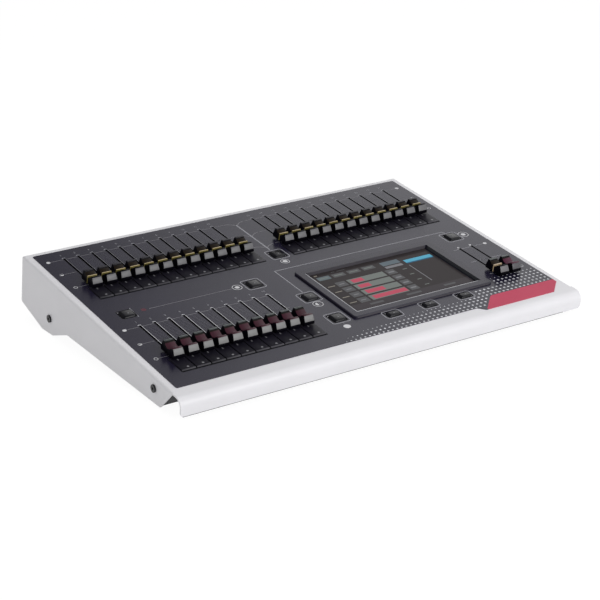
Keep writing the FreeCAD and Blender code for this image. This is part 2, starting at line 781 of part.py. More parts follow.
def make_carriage():
    """Slider of a potentiometer with the steel lever that carries the cap."""
    width = S.track_width - (S.track_wall + S.carriage_clearance) * 2
    top = -(S.sheet + S.track_wall + S.carriage_clearance)
    slider = block("Slider", (width, S.carriage_length, S.carriage_height),
                   (-(width / 2), -(S.carriage_length / 2), top - S.carriage_height))
    lever_top = S.cap_foot_height + S.cap_socket_depth - S.cap_socket_fit
    lever = block("Lever", (S.lever_thickness, S.lever_width, lever_top - top + S.carriage_height / 2),
                  (-(S.lever_thickness / 2), -(S.lever_width / 2), top - S.carriage_height / 2))
    carriage = doc.addObject("Part::Fuse", "Carriage")
    carriage.Base = slider
    carriage.Tool = lever
    return carriage


def make_faders():
    """One node for each fader: the cap and the slider with its lever, at the zero mark."""
    cap = make_cap()
    carriage = make_carriage()
    names = ("fader_rear_left", "fader_rear_right", "fader_front", "fader_master")
    for name, (first, count, zero) in zip(names, fader_banks()):
        for number, x in enumerate(columns(first, count), start=1):
            station = Placement(Vector(x, zero, 0), Rotation())
            compound(f"{name}_{number:02d}", [cap, carriage], deck_placement() * station)


def make_tracks():
    """Folded cases of all slide potentiometers, screwed flat under the deck."""
    length = float(S.fader_travel + S.carriage_length
                   + (S.carriage_overrun + S.track_wall) * 2)
    wall = float(S.track_wall)
    width = float(S.track_width)
    top = -float(S.sheet)
    bottom = top - float(S.track_height)
    slot_length = float(S.fader_travel + S.lever_width + S.lever_clearance * 2)
    case = slab(0, 0, width, length, bottom, top)
    case = case.cut(slab(0, 0, width - 2 * wall, length - 2 * wall, bottom + wall, top - wall))
    case = case.cut(slab(0, 0, float(S.slot_width), slot_length, top - 2 * wall, top + wall))
    cases = []
    for first, count, zero in fader_banks():
        for x in columns(first, count):
            copy = case.copy()
            copy.translate(Vector(x, zero + float(S.fader_travel) / 2, 0))
            cases.append(copy)
    return feature("fader_tracks", Part.makeCompound(cases), deck_placement())


# ---------------------------------------------------------------- keys and their switches
def board_top():
    """Upper face of the board under the deck; the potentiometer cases stand on it."""
    return -(S.sheet + S.track_height)


def make_key(name, width, length):
    """Key with bevelled front and rear ends, a stem, and the switch's plunger under it."""
    body = doc.addObject("PartDesign::Body", f"{name}Cap")
    top = S.key_height
    low = top - S.key_bevel
    under = top - S.key_thickness
    half = length / 2
    profile = sketch(body, f"{name}Profile", "YZ_Plane", [
        (-half, under),
        (half, under),
        (half, low),
        (half - S.key_bevel_run, top),
        (-half + S.key_bevel_run, top),
        (-half, low),
    ])
    extrude(body, "Pad", f"{name}Pad", profile, width, symmetric=True)
    plunger_top = board_top() + S.switch_height + S.plunger_height
    stem = sketch(body, f"{name}StemProfile", "XY_Plane",
                  rectangle(-S.stem_width / 2, -S.stem_width / 2, S.stem_width / 2, S.stem_width / 2),
                  lift=plunger_top)
    extrude(body, "Pad", f"{name}Stem", stem, under - plunger_top)
    plunger = block(f"{name}Plunger",
                    (S.plunger_width, S.plunger_width, S.plunger_height + S.plunger_depth),
                    (-(S.plunger_width / 2), -(S.plunger_width / 2),
                     plunger_top - S.plunger_height - S.plunger_depth))
    return [body, plunger]


def place_copies(label, links, places):
    """One node that holds copies of the linked pieces at several places on the deck."""
    copies = []
    for x, y in places:
        for link in links:
            copy = link.Shape.copy()
            copy.translate(Vector(x, y, 0))
            copies.append(copy)
    return feature(label, Part.makeCompound(copies), deck_placement())


def make_keys():
    """Flash keys by bank, then every other key on its own."""
    flash = make_key("Flash", S.column_pitch - S.key_gap, S.flash_length)
    square = make_key("Aux", S.aux_size, S.aux_size)
    soft = make_key("Soft", S.aux_size, S.soft_length)
    for label, first, count, front in flash_banks():
        middle = front + float(S.flash_length) / 2
        place_copies(label, flash, [(x, middle) for x in columns(first, count)])
    for forms, keys in ((square, aux_keys()), (soft, soft_keys())):
        for label, x, y in keys:
            station = Placement(Vector(x, y, 0), Rotation())
            compound(label, forms, deck_placement() * station)


def make_switches():
    """Switch bodies on the board, each with a square bore for its plunger."""
    base = float(board_top())
    top = base + float(S.switch_height)
    width = float(S.switch_width)
    bore = float(S.plunger_width + S.plunger_clearance * 2)
    depth = float(S.plunger_depth + S.key_travel + S.plunger_clearance)
    form = slab(0, 0, width, width, base, top).cut(slab(0, 0, bore, bore, top - depth, top + PAST))
    places = [(x, y) for _, x, y, _ in single_keys()]
    for _, first, count, front in flash_banks():
        places += [(x, front + float(S.flash_length) / 2) for x in columns(first, count)]
    switches = []
    for x, y in places:
        copy = form.copy()
        copy.translate(Vector(x, y, 0))
        switches.append(copy)
    return feature("key_switches", Part.makeCompound(switches), deck_placement())


# ---------------------------------------------------------------- display and boards
def opening_size():
    """Width and depth of the opening in the display's frame."""
    width, depth = frame_size()
    return width - S.frame_border * 2, depth - S.frame_border * 2


def make_frame(glass_top, glass_width, glass_depth):
    """Frame round the display: a raised flange on the overlay and a skirt that holds the glass."""
    x, y = float(S.display_x), float(S.display_y)
    seat = float(S.fascia_thickness)
    top = seat + float(S.frame_rise)
    bottom = glass_top - float(S.glass_thickness)
    play = 2 * float(S.fit)
    width, depth = (float(side) for side in frame_size())
    frame = slab(x, y, width, depth, seat, top, float(S.frame_corner))
    rim = [edge for edge in frame.Edges if edge.BoundBox.ZMin > top - TOUCH]
    frame = frame.makeChamfer(float(S.frame_chamfer), rim)
    frame = frame.fuse(slab(x, y, float(S.window_width) - play, float(S.window_depth) - play,
                            bottom, seat, float(S.window_corner))).removeSplitter()
    width, depth = (float(side) for side in opening_size())
    frame = frame.cut(slab(x, y, width, depth, bottom - PAST, top + PAST))
    frame = frame.cut(slab(x, y, glass_width + play, glass_depth + play, bottom - PAST, glass_top))
    piece = doc.addObject("Part::Feature", "DisplayFrame")
    piece.Shape = frame
    return piece


def make_display():
    """Display frame in the cut-out, the cover glass sunk in it, and the display panel behind."""
    width, depth = (side + S.glass_margin * 2 for side in opening_size())
    top = S.fascia_thickness + S.frame_rise - S.glass_sink
    glass = block("CoverGlass", (width, depth, S.glass_thickness),
                  (S.display_x - width / 2, S.display_y - depth / 2, top - S.glass_thickness))
    margin = S.panel_margin
    panel = block("DisplayPanel",
                  (width - margin * 2, depth - margin * 2, top - S.glass_thickness - board_top()),
                  (S.display_x - width / 2 + margin, S.display_y - depth / 2 + margin, board_top()))
    frame = make_frame(float(top), float(width), float(depth))
    return compound("touch_display", [frame, glass, panel], deck_placement())


def make_boards():
    """Board under the deck, and the processor board under the rear sockets."""
    half = case_width() / 2 - S.screw_length - S.board_clearance
    control = block("ControlBoard", (half * 2, S.board_depth, S.board_thickness),
                    (-half, S.board_front, board_top() - S.board_thickness))
    inner_wall = -(S.sheet * 2 + S.fit + S.fit)
    low = -(S.socket_row + S.dmx_barrel + S.board_thickness)
    processor = slab(float(S.processor_width / 2 - S.processor_left),
                     float(inner_wall - S.processor_depth / 2), float(S.processor_width),
                     float(S.processor_depth), float(low), float(low + S.board_thickness))
    processor.Placement = wall_placement()
    rear = doc.addObject("Part::Feature", "ProcessorBoard")
    rear.Shape = processor
    return compound("circuit_boards", [control, rear], deck_placement())


# ---------------------------------------------------------------- rear wall
def wall_face():
    """Wall y of the base pan's outer face."""
    return -float(S.sheet + S.fit)


def wall_block(x, width, height, front, back, z=None):
    """Block centred on a socket's middle, from wall y front down to back."""
    row = -float(S.socket_row) if z is None else z
    return Part.makeBox(width, front - back, height, Vector(x - width / 2, back, row - height / 2))


def wall_rod(x, radius, front, back):
    """Round bar square to the rear wall, from wall y front down to back."""
    return Part.makeCylinder(radius, front - back, Vector(x, back, -float(S.socket_row)), Vector(0, 1, 0))


def dmx_places():
    """Middles of the five-pin sockets."""
    return [float(S.dmx_first), float(S.dmx_first + S.dmx_pitch)]


def usb_places():
    """Middles of the USB sockets."""
    return [-float(S.usb_first), -float(S.usb_first + S.usb_pitch)]


def wall_cutters():
    """Holes in the rear wall for every socket and the power switch."""
    gap = float(S.fit)
    face = wall_face()
    front = face + PAST
    back = face - float(S.sheet) - PAST
    cutters = [wall_rod(x, float(S.dmx_barrel) + gap, front, back) for x in dmx_places()]
    cutters += [wall_block(x, float(S.usb_width) + gap, float(S.usb_height) + gap, front, back)
                for x in usb_places()]
    cutters.append(wall_block(-float(S.ethernet_x), float(S.ethernet_width) + gap,
                              float(S.ethernet_height) + gap, front, back))
    cutters.append(wall_rod(-float(S.inlet_x), float(S.inlet_radius) + gap, front, back))
    width, height = switch_body_size()
    cutters.append(wall_block(-float(S.switch_x), width + gap, height + gap, front, back))
    return cutters


def make_dmx(x):
    """Five-pin socket: square flange, barrel, and the ring groove that takes the plug's shell."""
    face = wall_face()
    front = face + float(S.dmx_flange)
    socket = wall_block(x, float(S.dmx_flange_width), float(S.dmx_flange_height), front, face)
    socket = socket.fuse(wall_rod(x, float(S.dmx_barrel), face, face - float(S.dmx_depth)))
    groove = wall_rod(x, float(S.dmx_groove_outer), front + PAST, front - float(S.dmx_groove_depth))
    island = wall_rod(x, float(S.dmx_groove_inner), front + PAST, front - float(S.dmx_groove_depth))
    return socket.cut(groove.cut(island))


def make_usb(x):
    """USB socket: shell with a mouth and the tongue that carries the contacts."""
    front = wall_face() + float(S.socket_proud)
    depth = float(S.usb_mouth_depth)
    shell = wall_block(x, float(S.usb_width), float(S.usb_height), front, front - float(S.usb_depth))
    mouth = wall_block(x, float(S.usb_mouth_width), float(S.usb_mouth_height), front + PAST, front - depth)
    rise = float(S.usb_mouth_height) / 2 - float(S.usb_tongue)
    tongue = wall_block(x, float(S.usb_mouth_width), float(S.usb_tongue),
                        front - float(S.contact_setback), front - depth,
                        rise - float(S.socket_row))
    return shell.cut(mouth.cut(tongue))


def make_ethernet():
    """Network socket: shell with an open mouth."""
    x = -float(S.ethernet_x)
    front = wall_face() + float(S.socket_proud)
    shell = wall_block(x, float(S.ethernet_width), float(S.ethernet_height), front,
                       front - float(S.ethernet_depth))
    mouth = wall_block(x, float(S.ethernet_mouth_width), float(S.ethernet_mouth_height), front + PAST,
                       front - float(S.ethernet_mouth_depth))
    return shell.cut(mouth)


def make_inlet():
    """Power inlet: threaded barrel, nut, mouth and centre pin."""
    x = -float(S.inlet_x)
    face = wall_face()
    front = face + float(S.inlet_nut)
    nut = prism(hexagon(float(S.inlet_nut_flats)), Vector(0, 0, 1), 0, float(S.inlet_nut))
    nut.Placement = Placement(Vector(x, front, -float(S.socket_row)), Rotation(Vector(1, 0, 0), 90))
    body = nut.fuse(wall_rod(x, float(S.inlet_radius), face, face - float(S.inlet_depth)))
    depth = float(S.inlet_mouth_depth)
    mouth = wall_rod(x, float(S.inlet_mouth), front + PAST, front - depth)
    pin = wall_rod(x, float(S.inlet_pin), front - float(S.contact_setback), front - depth)
    return body.cut(mouth.cut(pin))


def make_rear_sockets():
    """All sockets in the rear wall, each a solid of its own."""
    sockets = [make_dmx(x) for x in dmx_places()]
    sockets += [make_usb(x) for x in usb_places()]
    sockets += [make_ethernet(), make_inlet()]
    return feature("rear_sockets", Part.makeCompound(sockets), deck_placement() * wall_placement())


def rocker_pocket():
    """Width and height of the power switch's opening for its rocker."""
    gap = 2 * float(S.rocker_gap)
    return float(S.rocker_length) + gap, float(S.rocker_height) + gap


def switch_body_size():
    """Width and height of the power switch behind its rim."""
    width, height = rocker_pocket()
    rim = float(S.bezel_rim)
    return width + rim, height + rim


def rocker_axis():
    """Point on the rocker's pivot axis, in the wall frame."""
    depth = wall_face() + float(S.bezel_thickness - S.rocker_reach)
    return Vector(-float(S.switch_x), depth, -float(S.socket_row))


def make_power_switch():
    """Switch body with its rim, the pocket for the rocker and the pivot pin across it."""
    x = -float(S.switch_x)
    face = wall_face()
    front = face + float(S.bezel_thickness)
    width, height = rocker_pocket()
    rim = 2 * float(S.bezel_rim)
    body_width, body_height = switch_body_size()
    body = wall_block(x, width + rim, height + rim, front, face)
    body = body.fuse(wall_block(x, body_width, body_height, face, face - float(S.switch_body_depth)))
    axis = rocker_axis()
    floor = axis.y - math.hypot(float(S.rocker_depth), float(S.rocker_length) / 4) - float(S.rocker_gap)
    body = body.cut(wall_block(x, width, height, front + PAST, floor))
    pin = Part.makeCylinder(float(S.rocker_pin), body_height,
                            axis - Vector(0, 0, body_height / 2), Vector(0, 0, 1))
    return feature("power_switch_body", body.fuse(pin), deck_placement() * wall_placement())


def make_rocker():
    """Rocker: two finger faces that meet at a shallow angle over a keel round the pivot."""
    half = float(S.rocker_length) / 2
    height = float(S.rocker_height)
    axis = rocker_axis()
    reach = float(S.rocker_reach)
    rise = half * math.tan(math.radians(float(S.rocker_tilt)))
    low = -float(S.rocker_depth)
    outline = [
        Vector(-half, reach + rise, 0),
        Vector(0, reach, 0),
        Vector(half, reach + rise, 0),
        Vector(half, reach / 2, 0),
        Vector(half / 2, low, 0),
        Vector(-half / 2, low, 0),
        Vector(-half, reach / 2, 0),
    ]
    rocker = prism(outline, Vector(0, 0, 1), -height / 2, height)
    bore = Part.makeCylinder(float(S.rocker_pin + S.rocker_pin_clearance), height + 2 * PAST,
                             Vector(0, 0, -height / 2 - PAST), Vector(0, 0, 1))
    rocker = rocker.cut(bore)
    lean = Placement(axis, Rotation(Vector(0, 0, 1), -float(S.rocker_tilt)))
    return feature("power_rocker", rocker, deck_placement() * wall_placement() * lean)


# ---------------------------------------------------------------- fasteners and feet
def make_case_screws():
    """Four button head screws through the cheeks into the pan's end walls."""
    head = Part.makeCylinder(float(S.screw_head_radius), float(S.screw_head))
    shank = Part.makeCylinder(float(S.screw_radius), float(S.screw_length),
                              Vector(0, 0, -float(S.screw_length)))
    socket = prism(hexagon(float(S.screw_socket)), Vector(0, 0, 1), float(S.screw_head - S.screw_socket_depth),
                   float(S.screw_socket_depth) * 2)
    screw = head.fuse(shank).cut(socket)
    half = float(case_width()) / 2
    screws = []
    for side in (-1, 1):
        for y, z in screw_points():
            copy = screw.copy()
            copy.Placement = Placement(Vector(side * half, y, z), Rotation(Vector(0, 1, 0), 90 * side))
            screws.append(copy)
    return feature("case_screws", Part.makeCompound(screws), deck_placement())


def make_feet():
    """Four rubber feet on the pan's floor, cut on top to the slope of the floor."""
    middle = deck_placement().Base.y
    half = float(case_width()) / 2 - float(S.foot_inset)
    heel = float(S.heel_start + S.heel_length / 2) + middle
    front = float(S.front_foot_y) + middle
    floor = across(rounded_wire([point + (0,) for point in pan_outline()]), half * 2)
    floor.Placement = deck_placement()
    feet = []
    for x in (-half, half):
        for y in (front, heel):
            foot = Part.makeCylinder(float(S.foot_radius), float(S.foot_height + S.arch_rise),
                                     Vector(x, y, 0))
            feet.append(foot.cut(floor))
    return feature("rubber_feet", Part.makeCompound(feet))


# ---------------------------------------------------------------- build and export
def check(pieces):
    """Stop if any object failed or any sub-part is not a sound solid."""
    for item in doc.Objects:
        bad = [state for state in item.State if state in ("Invalid", "Error")]
        if bad:
            raise RuntimeError(f"{item.Label} is {bad}")
    for piece, label, _ in pieces:
        shape = piece.Shape
        if shape.isNull() or not shape.isValid() or not shape.Solids:
            raise RuntimeError(f"{label} has no valid solid")
        if any(solid.Volume <= 0 for solid in shape.Solids):
            raise RuntimeError(f"{label} has an empty solid")


def main():
    """Build every sub-part, stand it in the desk frame and write its STEP file."""
    make_top_shell()
    make_fascia()
    make_base_pan()
    make_faders()
    make_tracks()
    make_keys()
    make_switches()
    make_display()
    make_boards()
    make_rear_sockets()
    make_power_switch()
    make_rocker()
    make_case_screws()
    make_feet()
    doc.recompute()
    for piece, _, placement in PIECES:
        piece.Placement = placement
    check(PIECES)
    os.makedirs("parts", exist_ok=True)
    for piece, label, _ in PIECES:
        piece.Shape.exportStep(f"parts/{label}.step")
        box = piece.Shape.BoundBox
        print(f"{label:24s} {len(piece.Shape.Solids):3d} solids {piece.Shape.Volume / 1000:9.2f} cm3 "
              f"x {box.XMin:7.1f} {box.XMax:7.1f} y {box.YMin:7.1f} {box.YMax:7.1f} "
              f"z {box.ZMin:6.1f} {box.ZMax:6.1f}")
    print(len(PIECES), "nodes")


main()
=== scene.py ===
"""Looks of the lighting control desk: finishes, printing, caps, keys, display and studio.

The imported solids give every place.  Deck pieces are drawn in millimetres on the sloping deck,
whose x runs right, y up the slope and z out of the sheet metal, and rear wall pieces in the
millimetres of the rear wall, whose y points out of the wall and z up along it.
"""
from __future__ import annotations

import json
import logging
import math
from collections.abc import Callable, Iterable, Sequence
from dataclasses import dataclass
from enum import Enum
from typing import Any

import bmesh
import bpy
from mathutils import Matrix, Vector

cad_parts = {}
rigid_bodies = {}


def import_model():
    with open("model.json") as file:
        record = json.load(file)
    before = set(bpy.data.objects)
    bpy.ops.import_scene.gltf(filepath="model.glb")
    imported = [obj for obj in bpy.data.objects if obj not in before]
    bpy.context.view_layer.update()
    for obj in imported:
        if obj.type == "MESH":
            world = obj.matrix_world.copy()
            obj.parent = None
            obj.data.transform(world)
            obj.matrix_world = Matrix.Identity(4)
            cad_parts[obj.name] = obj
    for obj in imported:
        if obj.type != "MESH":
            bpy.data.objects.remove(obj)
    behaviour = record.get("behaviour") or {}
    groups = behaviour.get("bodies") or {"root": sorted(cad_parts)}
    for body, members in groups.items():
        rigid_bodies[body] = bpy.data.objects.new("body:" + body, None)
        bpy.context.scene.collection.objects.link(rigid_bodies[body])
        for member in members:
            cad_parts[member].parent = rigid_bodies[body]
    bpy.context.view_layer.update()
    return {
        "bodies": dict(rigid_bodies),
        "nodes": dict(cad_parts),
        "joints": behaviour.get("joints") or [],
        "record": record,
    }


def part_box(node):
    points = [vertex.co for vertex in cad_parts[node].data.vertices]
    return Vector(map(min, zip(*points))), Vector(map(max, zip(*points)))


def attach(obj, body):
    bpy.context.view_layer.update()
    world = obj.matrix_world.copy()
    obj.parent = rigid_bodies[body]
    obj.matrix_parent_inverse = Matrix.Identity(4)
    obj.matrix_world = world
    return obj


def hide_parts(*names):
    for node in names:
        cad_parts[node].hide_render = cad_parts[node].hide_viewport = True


MILLIMETRE = 0.001
LOG = logging.getLogger("desk")

Colour = tuple[float, float, float]
Point = tuple[float, float]
Edges = tuple[float, float, float, float]
Vert, Edge, Face = bmesh.types.BMVert, bmesh.types.BMEdge, bmesh.types.BMFace
Socket = bpy.types.NodeSocket
Layers = tuple[Socket, Socket, Socket | None]


def srgb(red: int, green: int, blue: int) -> Colour:
    """Turn a display colour into the linear colour that shaders take.

    Args:
        red: Red, 0 to 255.
        green: Green, 0 to 255.
        blue: Blue, 0 to 255.

    Returns:
        The linear colour.
    """
    def linear(channel: int) -> float:
        """Undo the display curve for one channel."""
        value = channel / 255
        return value / 12.92 if value <= 0.04045 else ((value + 0.055) / 1.055) ** 2.4

    return linear(red), linear(green), linear(blue)


def arc(x: float, y: float, radius: float, start: float, end: float, steps: int,
        flat: float = 1.0) -> list[Point]:
    """Points of an arc.

    Args:
        x: Middle of the arc.
        y: Middle of the arc.
        radius: Its radius.
        start: Angle where it starts, in degrees.
        end: Angle where it ends.
        steps: Steps between them.
        flat: Its height along y, as a share of its radius.

    Returns:
        The points.
    """
    turns = [math.radians(start + (end - start) * step / steps) for step in range(steps + 1)]
    return [(x + radius * math.cos(turn), y + radius * flat * math.sin(turn)) for turn in turns]


def only(kind: type, items: Iterable[Any]) -> list[Any]:
    """Items of one kind among what an operator gave."""
    return [item for item in items if isinstance(item, kind)]


# ---------------------------------------------------------------- places
class Bank(Enum):
    """The four fader banks, by the stem of their nodes' names."""

    REAR_LEFT = "fader_rear_left"
    REAR_RIGHT = "fader_rear_right"
    FRONT = "fader_front"
    MASTER = "fader_master"

    @property
    def side(self) -> int:
        """-1 for a bank that starts at the left edge, 1 for one that ends at the right edge."""
        return -1 if self in (Bank.REAR_LEFT, Bank.FRONT) else 1

    @property
    def rear(self) -> bool:
        """Whether the bank stands in the rear row."""
        return self in (Bank.REAR_LEFT, Bank.REAR_RIGHT)


@dataclass(frozen=True)
class Layout:
    """Places on the deck that several sub-assemblies share, in millimetres."""

    fascia_width: float = 442.0
    fascia_depth: float = 291.0
    fascia_top: float = 0.5
    tab_reach: float = 6.8
    deck_end: float = 298.2
    rear_lean: float = 4.508
    sheet: float = 1.5
    column_pitch: float = 15.5
    outer_column: float = 195.0
    rear_zero: float = 211.5
    front_zero: float = 53.3
    travel: float = 60.0
    rear_columns: int = 12
    front_columns: int = 10
    master_columns: int = 2
    flash_length: float = 24.8
    rear_flash_front: float = 179.8
    front_flash_front: float = 22.8
    aux_row: float = 141.0
    soft_row: float = 27.3
    display_x: float = 75.5
    display_y: float = 88.6
    display_width: float = 166.8
    display_depth: float = 107.2
    display_border: float = 8.5
    glass_top: float = -0.8

    def columns(self, bank: Bank) -> list[float]:
        """Middles of a bank's columns, from left to right.

        Args:
            bank: The bank.

        Returns:
            Deck x of each column.
        """
        counts = {Bank.FRONT: self.front_columns, Bank.MASTER: self.master_columns}
        count = counts.get(bank, self.rear_columns)
        first = -self.outer_column
        if bank.side > 0:
            first = self.outer_column - self.column_pitch * (count - 1)
        return [first + self.column_pitch * index for index in range(count)]

    def zero(self, bank: Bank) -> float:
        """Deck y of a bank's lowest mark."""
        return self.rear_zero if bank.rear else self.front_zero

    def flash_banks(self) -> list[tuple[str, list[float], float]]:
        """Banks of flash keys.

        Returns:
            Node name, columns and front edge of each bank.
        """
        return [(bank.value.replace("fader", "flash_keys"), self.columns(bank),
                 self.rear_flash_front if bank.rear else self.front_flash_front)
                for bank in Bank if bank is not Bank.MASTER]

    def square_keys(self) -> dict[str, Point]:
        """Square auxiliary keys.

        Returns:
            Middle of each key by the name of its node.
        """
        return {
            "aux_key_left": (-self.outer_column, self.aux_row),
            "aux_key_link": (self.columns(Bank.FRONT)[-1], self.aux_row),
            "aux_key_centre": (1.5, 187.5),
            "aux_key_next": (-21.85, 92.7),
            "aux_key_back": (-21.85, 44.9),
            "aux_key_master": (189.2, self.aux_row),
        }

    def soft_keys(self) -> dict[str, Point]:
        """Node name and middle of each key under the display."""
        return {"soft_key_left": (30.7, self.soft_row), "soft_key_middle": (73.9, self.soft_row),
                "soft_key_right": (117.1, self.soft_row)}


@dataclass(frozen=True)
class DeskFrame:
    """Where the deck and the rear wall stand in the row frame."""

    deck: Matrix
    wall: Matrix

    @classmethod
    def from_packed(cls, packed: dict[str, Any], layout: Layout) -> DeskFrame:
        """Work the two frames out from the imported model.

        Args:
            layout: The deck's named sizes.

        Returns:
            The frames, each with a scale from millimetres to metres.
        """
        slide = next(joint for joint in packed["joints"] if joint["name"] == "fader_front_01_slide")
        pitch = math.atan2(slide["axis"][2], slide["axis"][1])
        low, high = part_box("fascia_overlay")
        corner = Vector((
            0.0,
            high.y - layout.fascia_depth * MILLIMETRE * math.cos(pitch),
            low.z + layout.tab_reach * MILLIMETRE * math.sin(pitch),
        ))
        tilt = Matrix.Rotation(pitch, 4, "X")
        deck = Matrix.Translation(corner) @ tilt @ Matrix.Scale(MILLIMETRE, 4)
        lean = Matrix.Rotation(math.radians(layout.rear_lean), 4, "X")
        return cls(deck, deck @ Matrix.Translation((0.0, layout.deck_end, 0.0)) @ lean)


# ---------------------------------------------------------------- finishes
class Graph:
    """Nodes of a material or of the world, with short calls to add and join them."""

    def __init__(self, tree: bpy.types.NodeTree, places: str = "Object") -> None:
        """Take a node tree.

        Args:
            tree: The tree to work in.
            places: The coordinates that grain and ridges follow.
        """
        self.tree = tree
        self.shader = tree.nodes.get("Principled BSDF")
        self.places = tree.nodes.new("ShaderNodeTexCoord").outputs[places]

    def feed(self, node: bpy.types.Node, **inputs: Any) -> None:
        """Join sockets to a node's inputs, and set the other values on them.

        Args:
            node: The node.
            inputs: Value or socket by input name, with _ for a blank, or by i and its number.
        """
        for name, value in inputs.items():
            target = node.inputs[int(name[1:]) if name[1:].isdigit() else name.replace("_", " ")]
            if isinstance(value, Socket):
                self.tree.links.new(value, target)
            else:
                target.default_value = value

    def add(self, kind: str, output: str, settings: dict[str, Any] | None = None,
            **inputs: Any) -> Socket:
        """Add a node.

        Args:
            kind: Its type, without the words that every type starts with.
            output: Name of the output that is wanted.
            settings: Its properties.
            inputs: What goes into it, as feed() takes it.

        Returns:
            The wanted output.
        """
        node = self.tree.nodes.new(f"ShaderNode{kind}")
        for name, value in (settings or {}).items():
            setattr(node, name, value)
        self.feed(node, **inputs)
        return node.outputs[output]

    def math(self, operation: str, first: Any, second: Any = 0.0) -> Socket:
        """Work on one or two values."""
        return self.add("Math", "Value", {"operation": operation}, i0=first, i1=second)

    def ray(self, kind: str) -> Socket:
        """Whether light comes by one kind of ray, such as Camera or Glossy."""
        return self.add("LightPath", f"Is {kind} Ray")

    def grain(self, size: float, detail: float = 3.0,
              stretch: Sequence[float] = (1, 1, 1)) -> Socket:
        """Noise over the coordinates.

        Args:
            size: Size of the grain, in millimetres.
            detail: Octaves of finer grain.
            stretch: How much faster it runs along each axis.

        Returns:
            The noise's value, 0 to 1.
        """
        places = self.add("Mapping", "Vector", Vector=self.places, Scale=stretch)
        fineness = 1 / (size * MILLIMETRE)
        return self.add("TexNoise", "Fac", Vector=places, Scale=fineness, Detail=detail)

    def ranged(self, value: Socket, low: float = 0.0, high: float = 1.0,
               start: float = 0.3, end: float = 0.7, curve: str = "LINEAR") -> Socket:
        """Spread part of a value's range over new limits.

        Args:
            value: The value to spread.
            low: New value at start.
            high: New value at end.
            start: Where the spread starts.
            end: Where it ends.
            curve: How it runs between them.

        Returns:
            The spread value.
        """
        return self.add("MapRange", "Result", {"interpolation_type": curve}, Value=value,
                        From_Min=start, From_Max=end, To_Min=low, To_Max=high)

    def ridges(self, axis: str, pitch: float) -> Socket:
        """Parallel ridges, 0 to 1, that follow one another along an axis.

        Args:
            axis: "X", "Y" or "Z".
            pitch: Distance from ridge to ridge, in millimetres.

        Returns:
            The height of the ridges.
        """
        along = self.add("SeparateXYZ", axis, Vector=self.places)
        turn = self.math("MULTIPLY", along, 2 * math.pi / (pitch * MILLIMETRE))
        return self.ranged(self.math("SINE", turn), start=-1.0, end=1.0)


@dataclass(frozen=True)
class Finish:
    """Painted, moulded or coated surface with grain, blotches and a spread of gloss.

    Attributes:
        name: Name of the material.
        slot: The record's material slot.
        colour: Main linear colour.
        roughness: Middle roughness.
        metallic: 0 for paint and plastic, 1 for bare metal.
        specular: Specular level.
        grain: Size of the surface grain, in millimetres.
        relief: Height of the grain, in millimetres.
        blotch: Size of the broad colour variation, in millimetres.
        variation: How far the colour varies, as a share of itself.
        spread: How far the roughness varies.
    """

    name: str
    slot: str
    colour: Colour
    roughness: float = 0.45
    metallic: float = 0.0
    specular: float = 0.5
    grain: float = 0.5
    relief: float = 0.004
    blotch: float = 30.0
    variation: float = 0.05
    spread: float = 0.05

    def layers(self, graph: Graph) -> Layers:
        """What varies the colour, what varies the gloss, and the height, each from 0 to 1."""
        fine = graph.grain(self.grain)
        return graph.ranged(graph.grain(self.blotch, 2.0)), fine, fine

    def material(self) -> bpy.types.Material:
        """The Blender material, made once.

        Returns:
            The material of this finish.
        """
        made = bpy.data.materials.get(self.name)
        if made:
            return made
        made = bpy.data.materials.new(self.name)
        made.use_nodes = True
        graph = Graph(made.node_tree)
        shade, gloss, height = self.layers(graph)
        less, more = ((*(min(1.0, channel * share) for channel in self.colour), 1)
                      for share in (1 - self.variation, 1 + self.variation))
        tint = graph.add("Mix", "Result", {"data_type": "RGBA"}, Factor=shade, A=less, B=more)
        rough = graph.ranged(gloss, self.roughness - self.spread, self.roughness + self.spread)
        graph.feed(graph.shader, Base_Color=tint, Roughness=rough, Metallic=self.metallic,
                   Specular_IOR_Level=self.specular)
        if height is not None:
            raised = graph.add("Bump", "Normal", Height=height, Strength=1.0,
                               Distance=self.relief * MILLIMETRE)
            graph.feed(graph.shader, Normal=raised)
        return made


@dataclass(frozen=True)
class Ink(Finish):
    """Printing ink, with little mirror."""

    roughness: float = 0.45
    specular: float = 0.3
    variation: float = 0.04


@dataclass(frozen=True)
class CapPlastic(Finish):
    """Moulded plastic of the fader caps."""

    roughness: float = 0.4
    variation: float = 0.2


@dataclass(frozen=True)
class PowderCoat(Finish):
    """Powder coat: orange peel over the fine grain."""

    peel: float = 1.6

    def layers(self, graph: Graph) -> Layers:
        """Blotches, peel, and grain with peel on it."""
        fine, peel = graph.grain(self.grain), graph.grain(self.peel, 1.0)
        return graph.ranged(graph.grain(self.blotch, 2.0)), peel, graph.math("ADD", fine, peel)


@dataclass(frozen=True)
class Ribbed(Finish):
    """Moulded plastic, fine parallel ribs, grooves painted darker as shade, painted sheen."""

    roughness: float = 0.38
    relief: float = 0.04
    variation: float = 0.20
    pitch: float = 1.1

    def layers(self, graph: Graph) -> Layers:
        """Ribs, grain, and the ribs again."""
        ribs = graph.ridges("X", self.pitch)
        return ribs, graph.grain(self.grain), ribs


@dataclass(frozen=True)
class Brushed(Finish):
    """Rolled or brushed metal with long marks along one axis."""

    along: tuple[float, float, float] = (0.03, 1.0, 1.0)

    def layers(self, graph: Graph) -> Layers:
        """The long marks, three times."""
        marks = graph.grain(self.grain, 4.0, self.along)
        return graph.ranged(marks), marks, marks


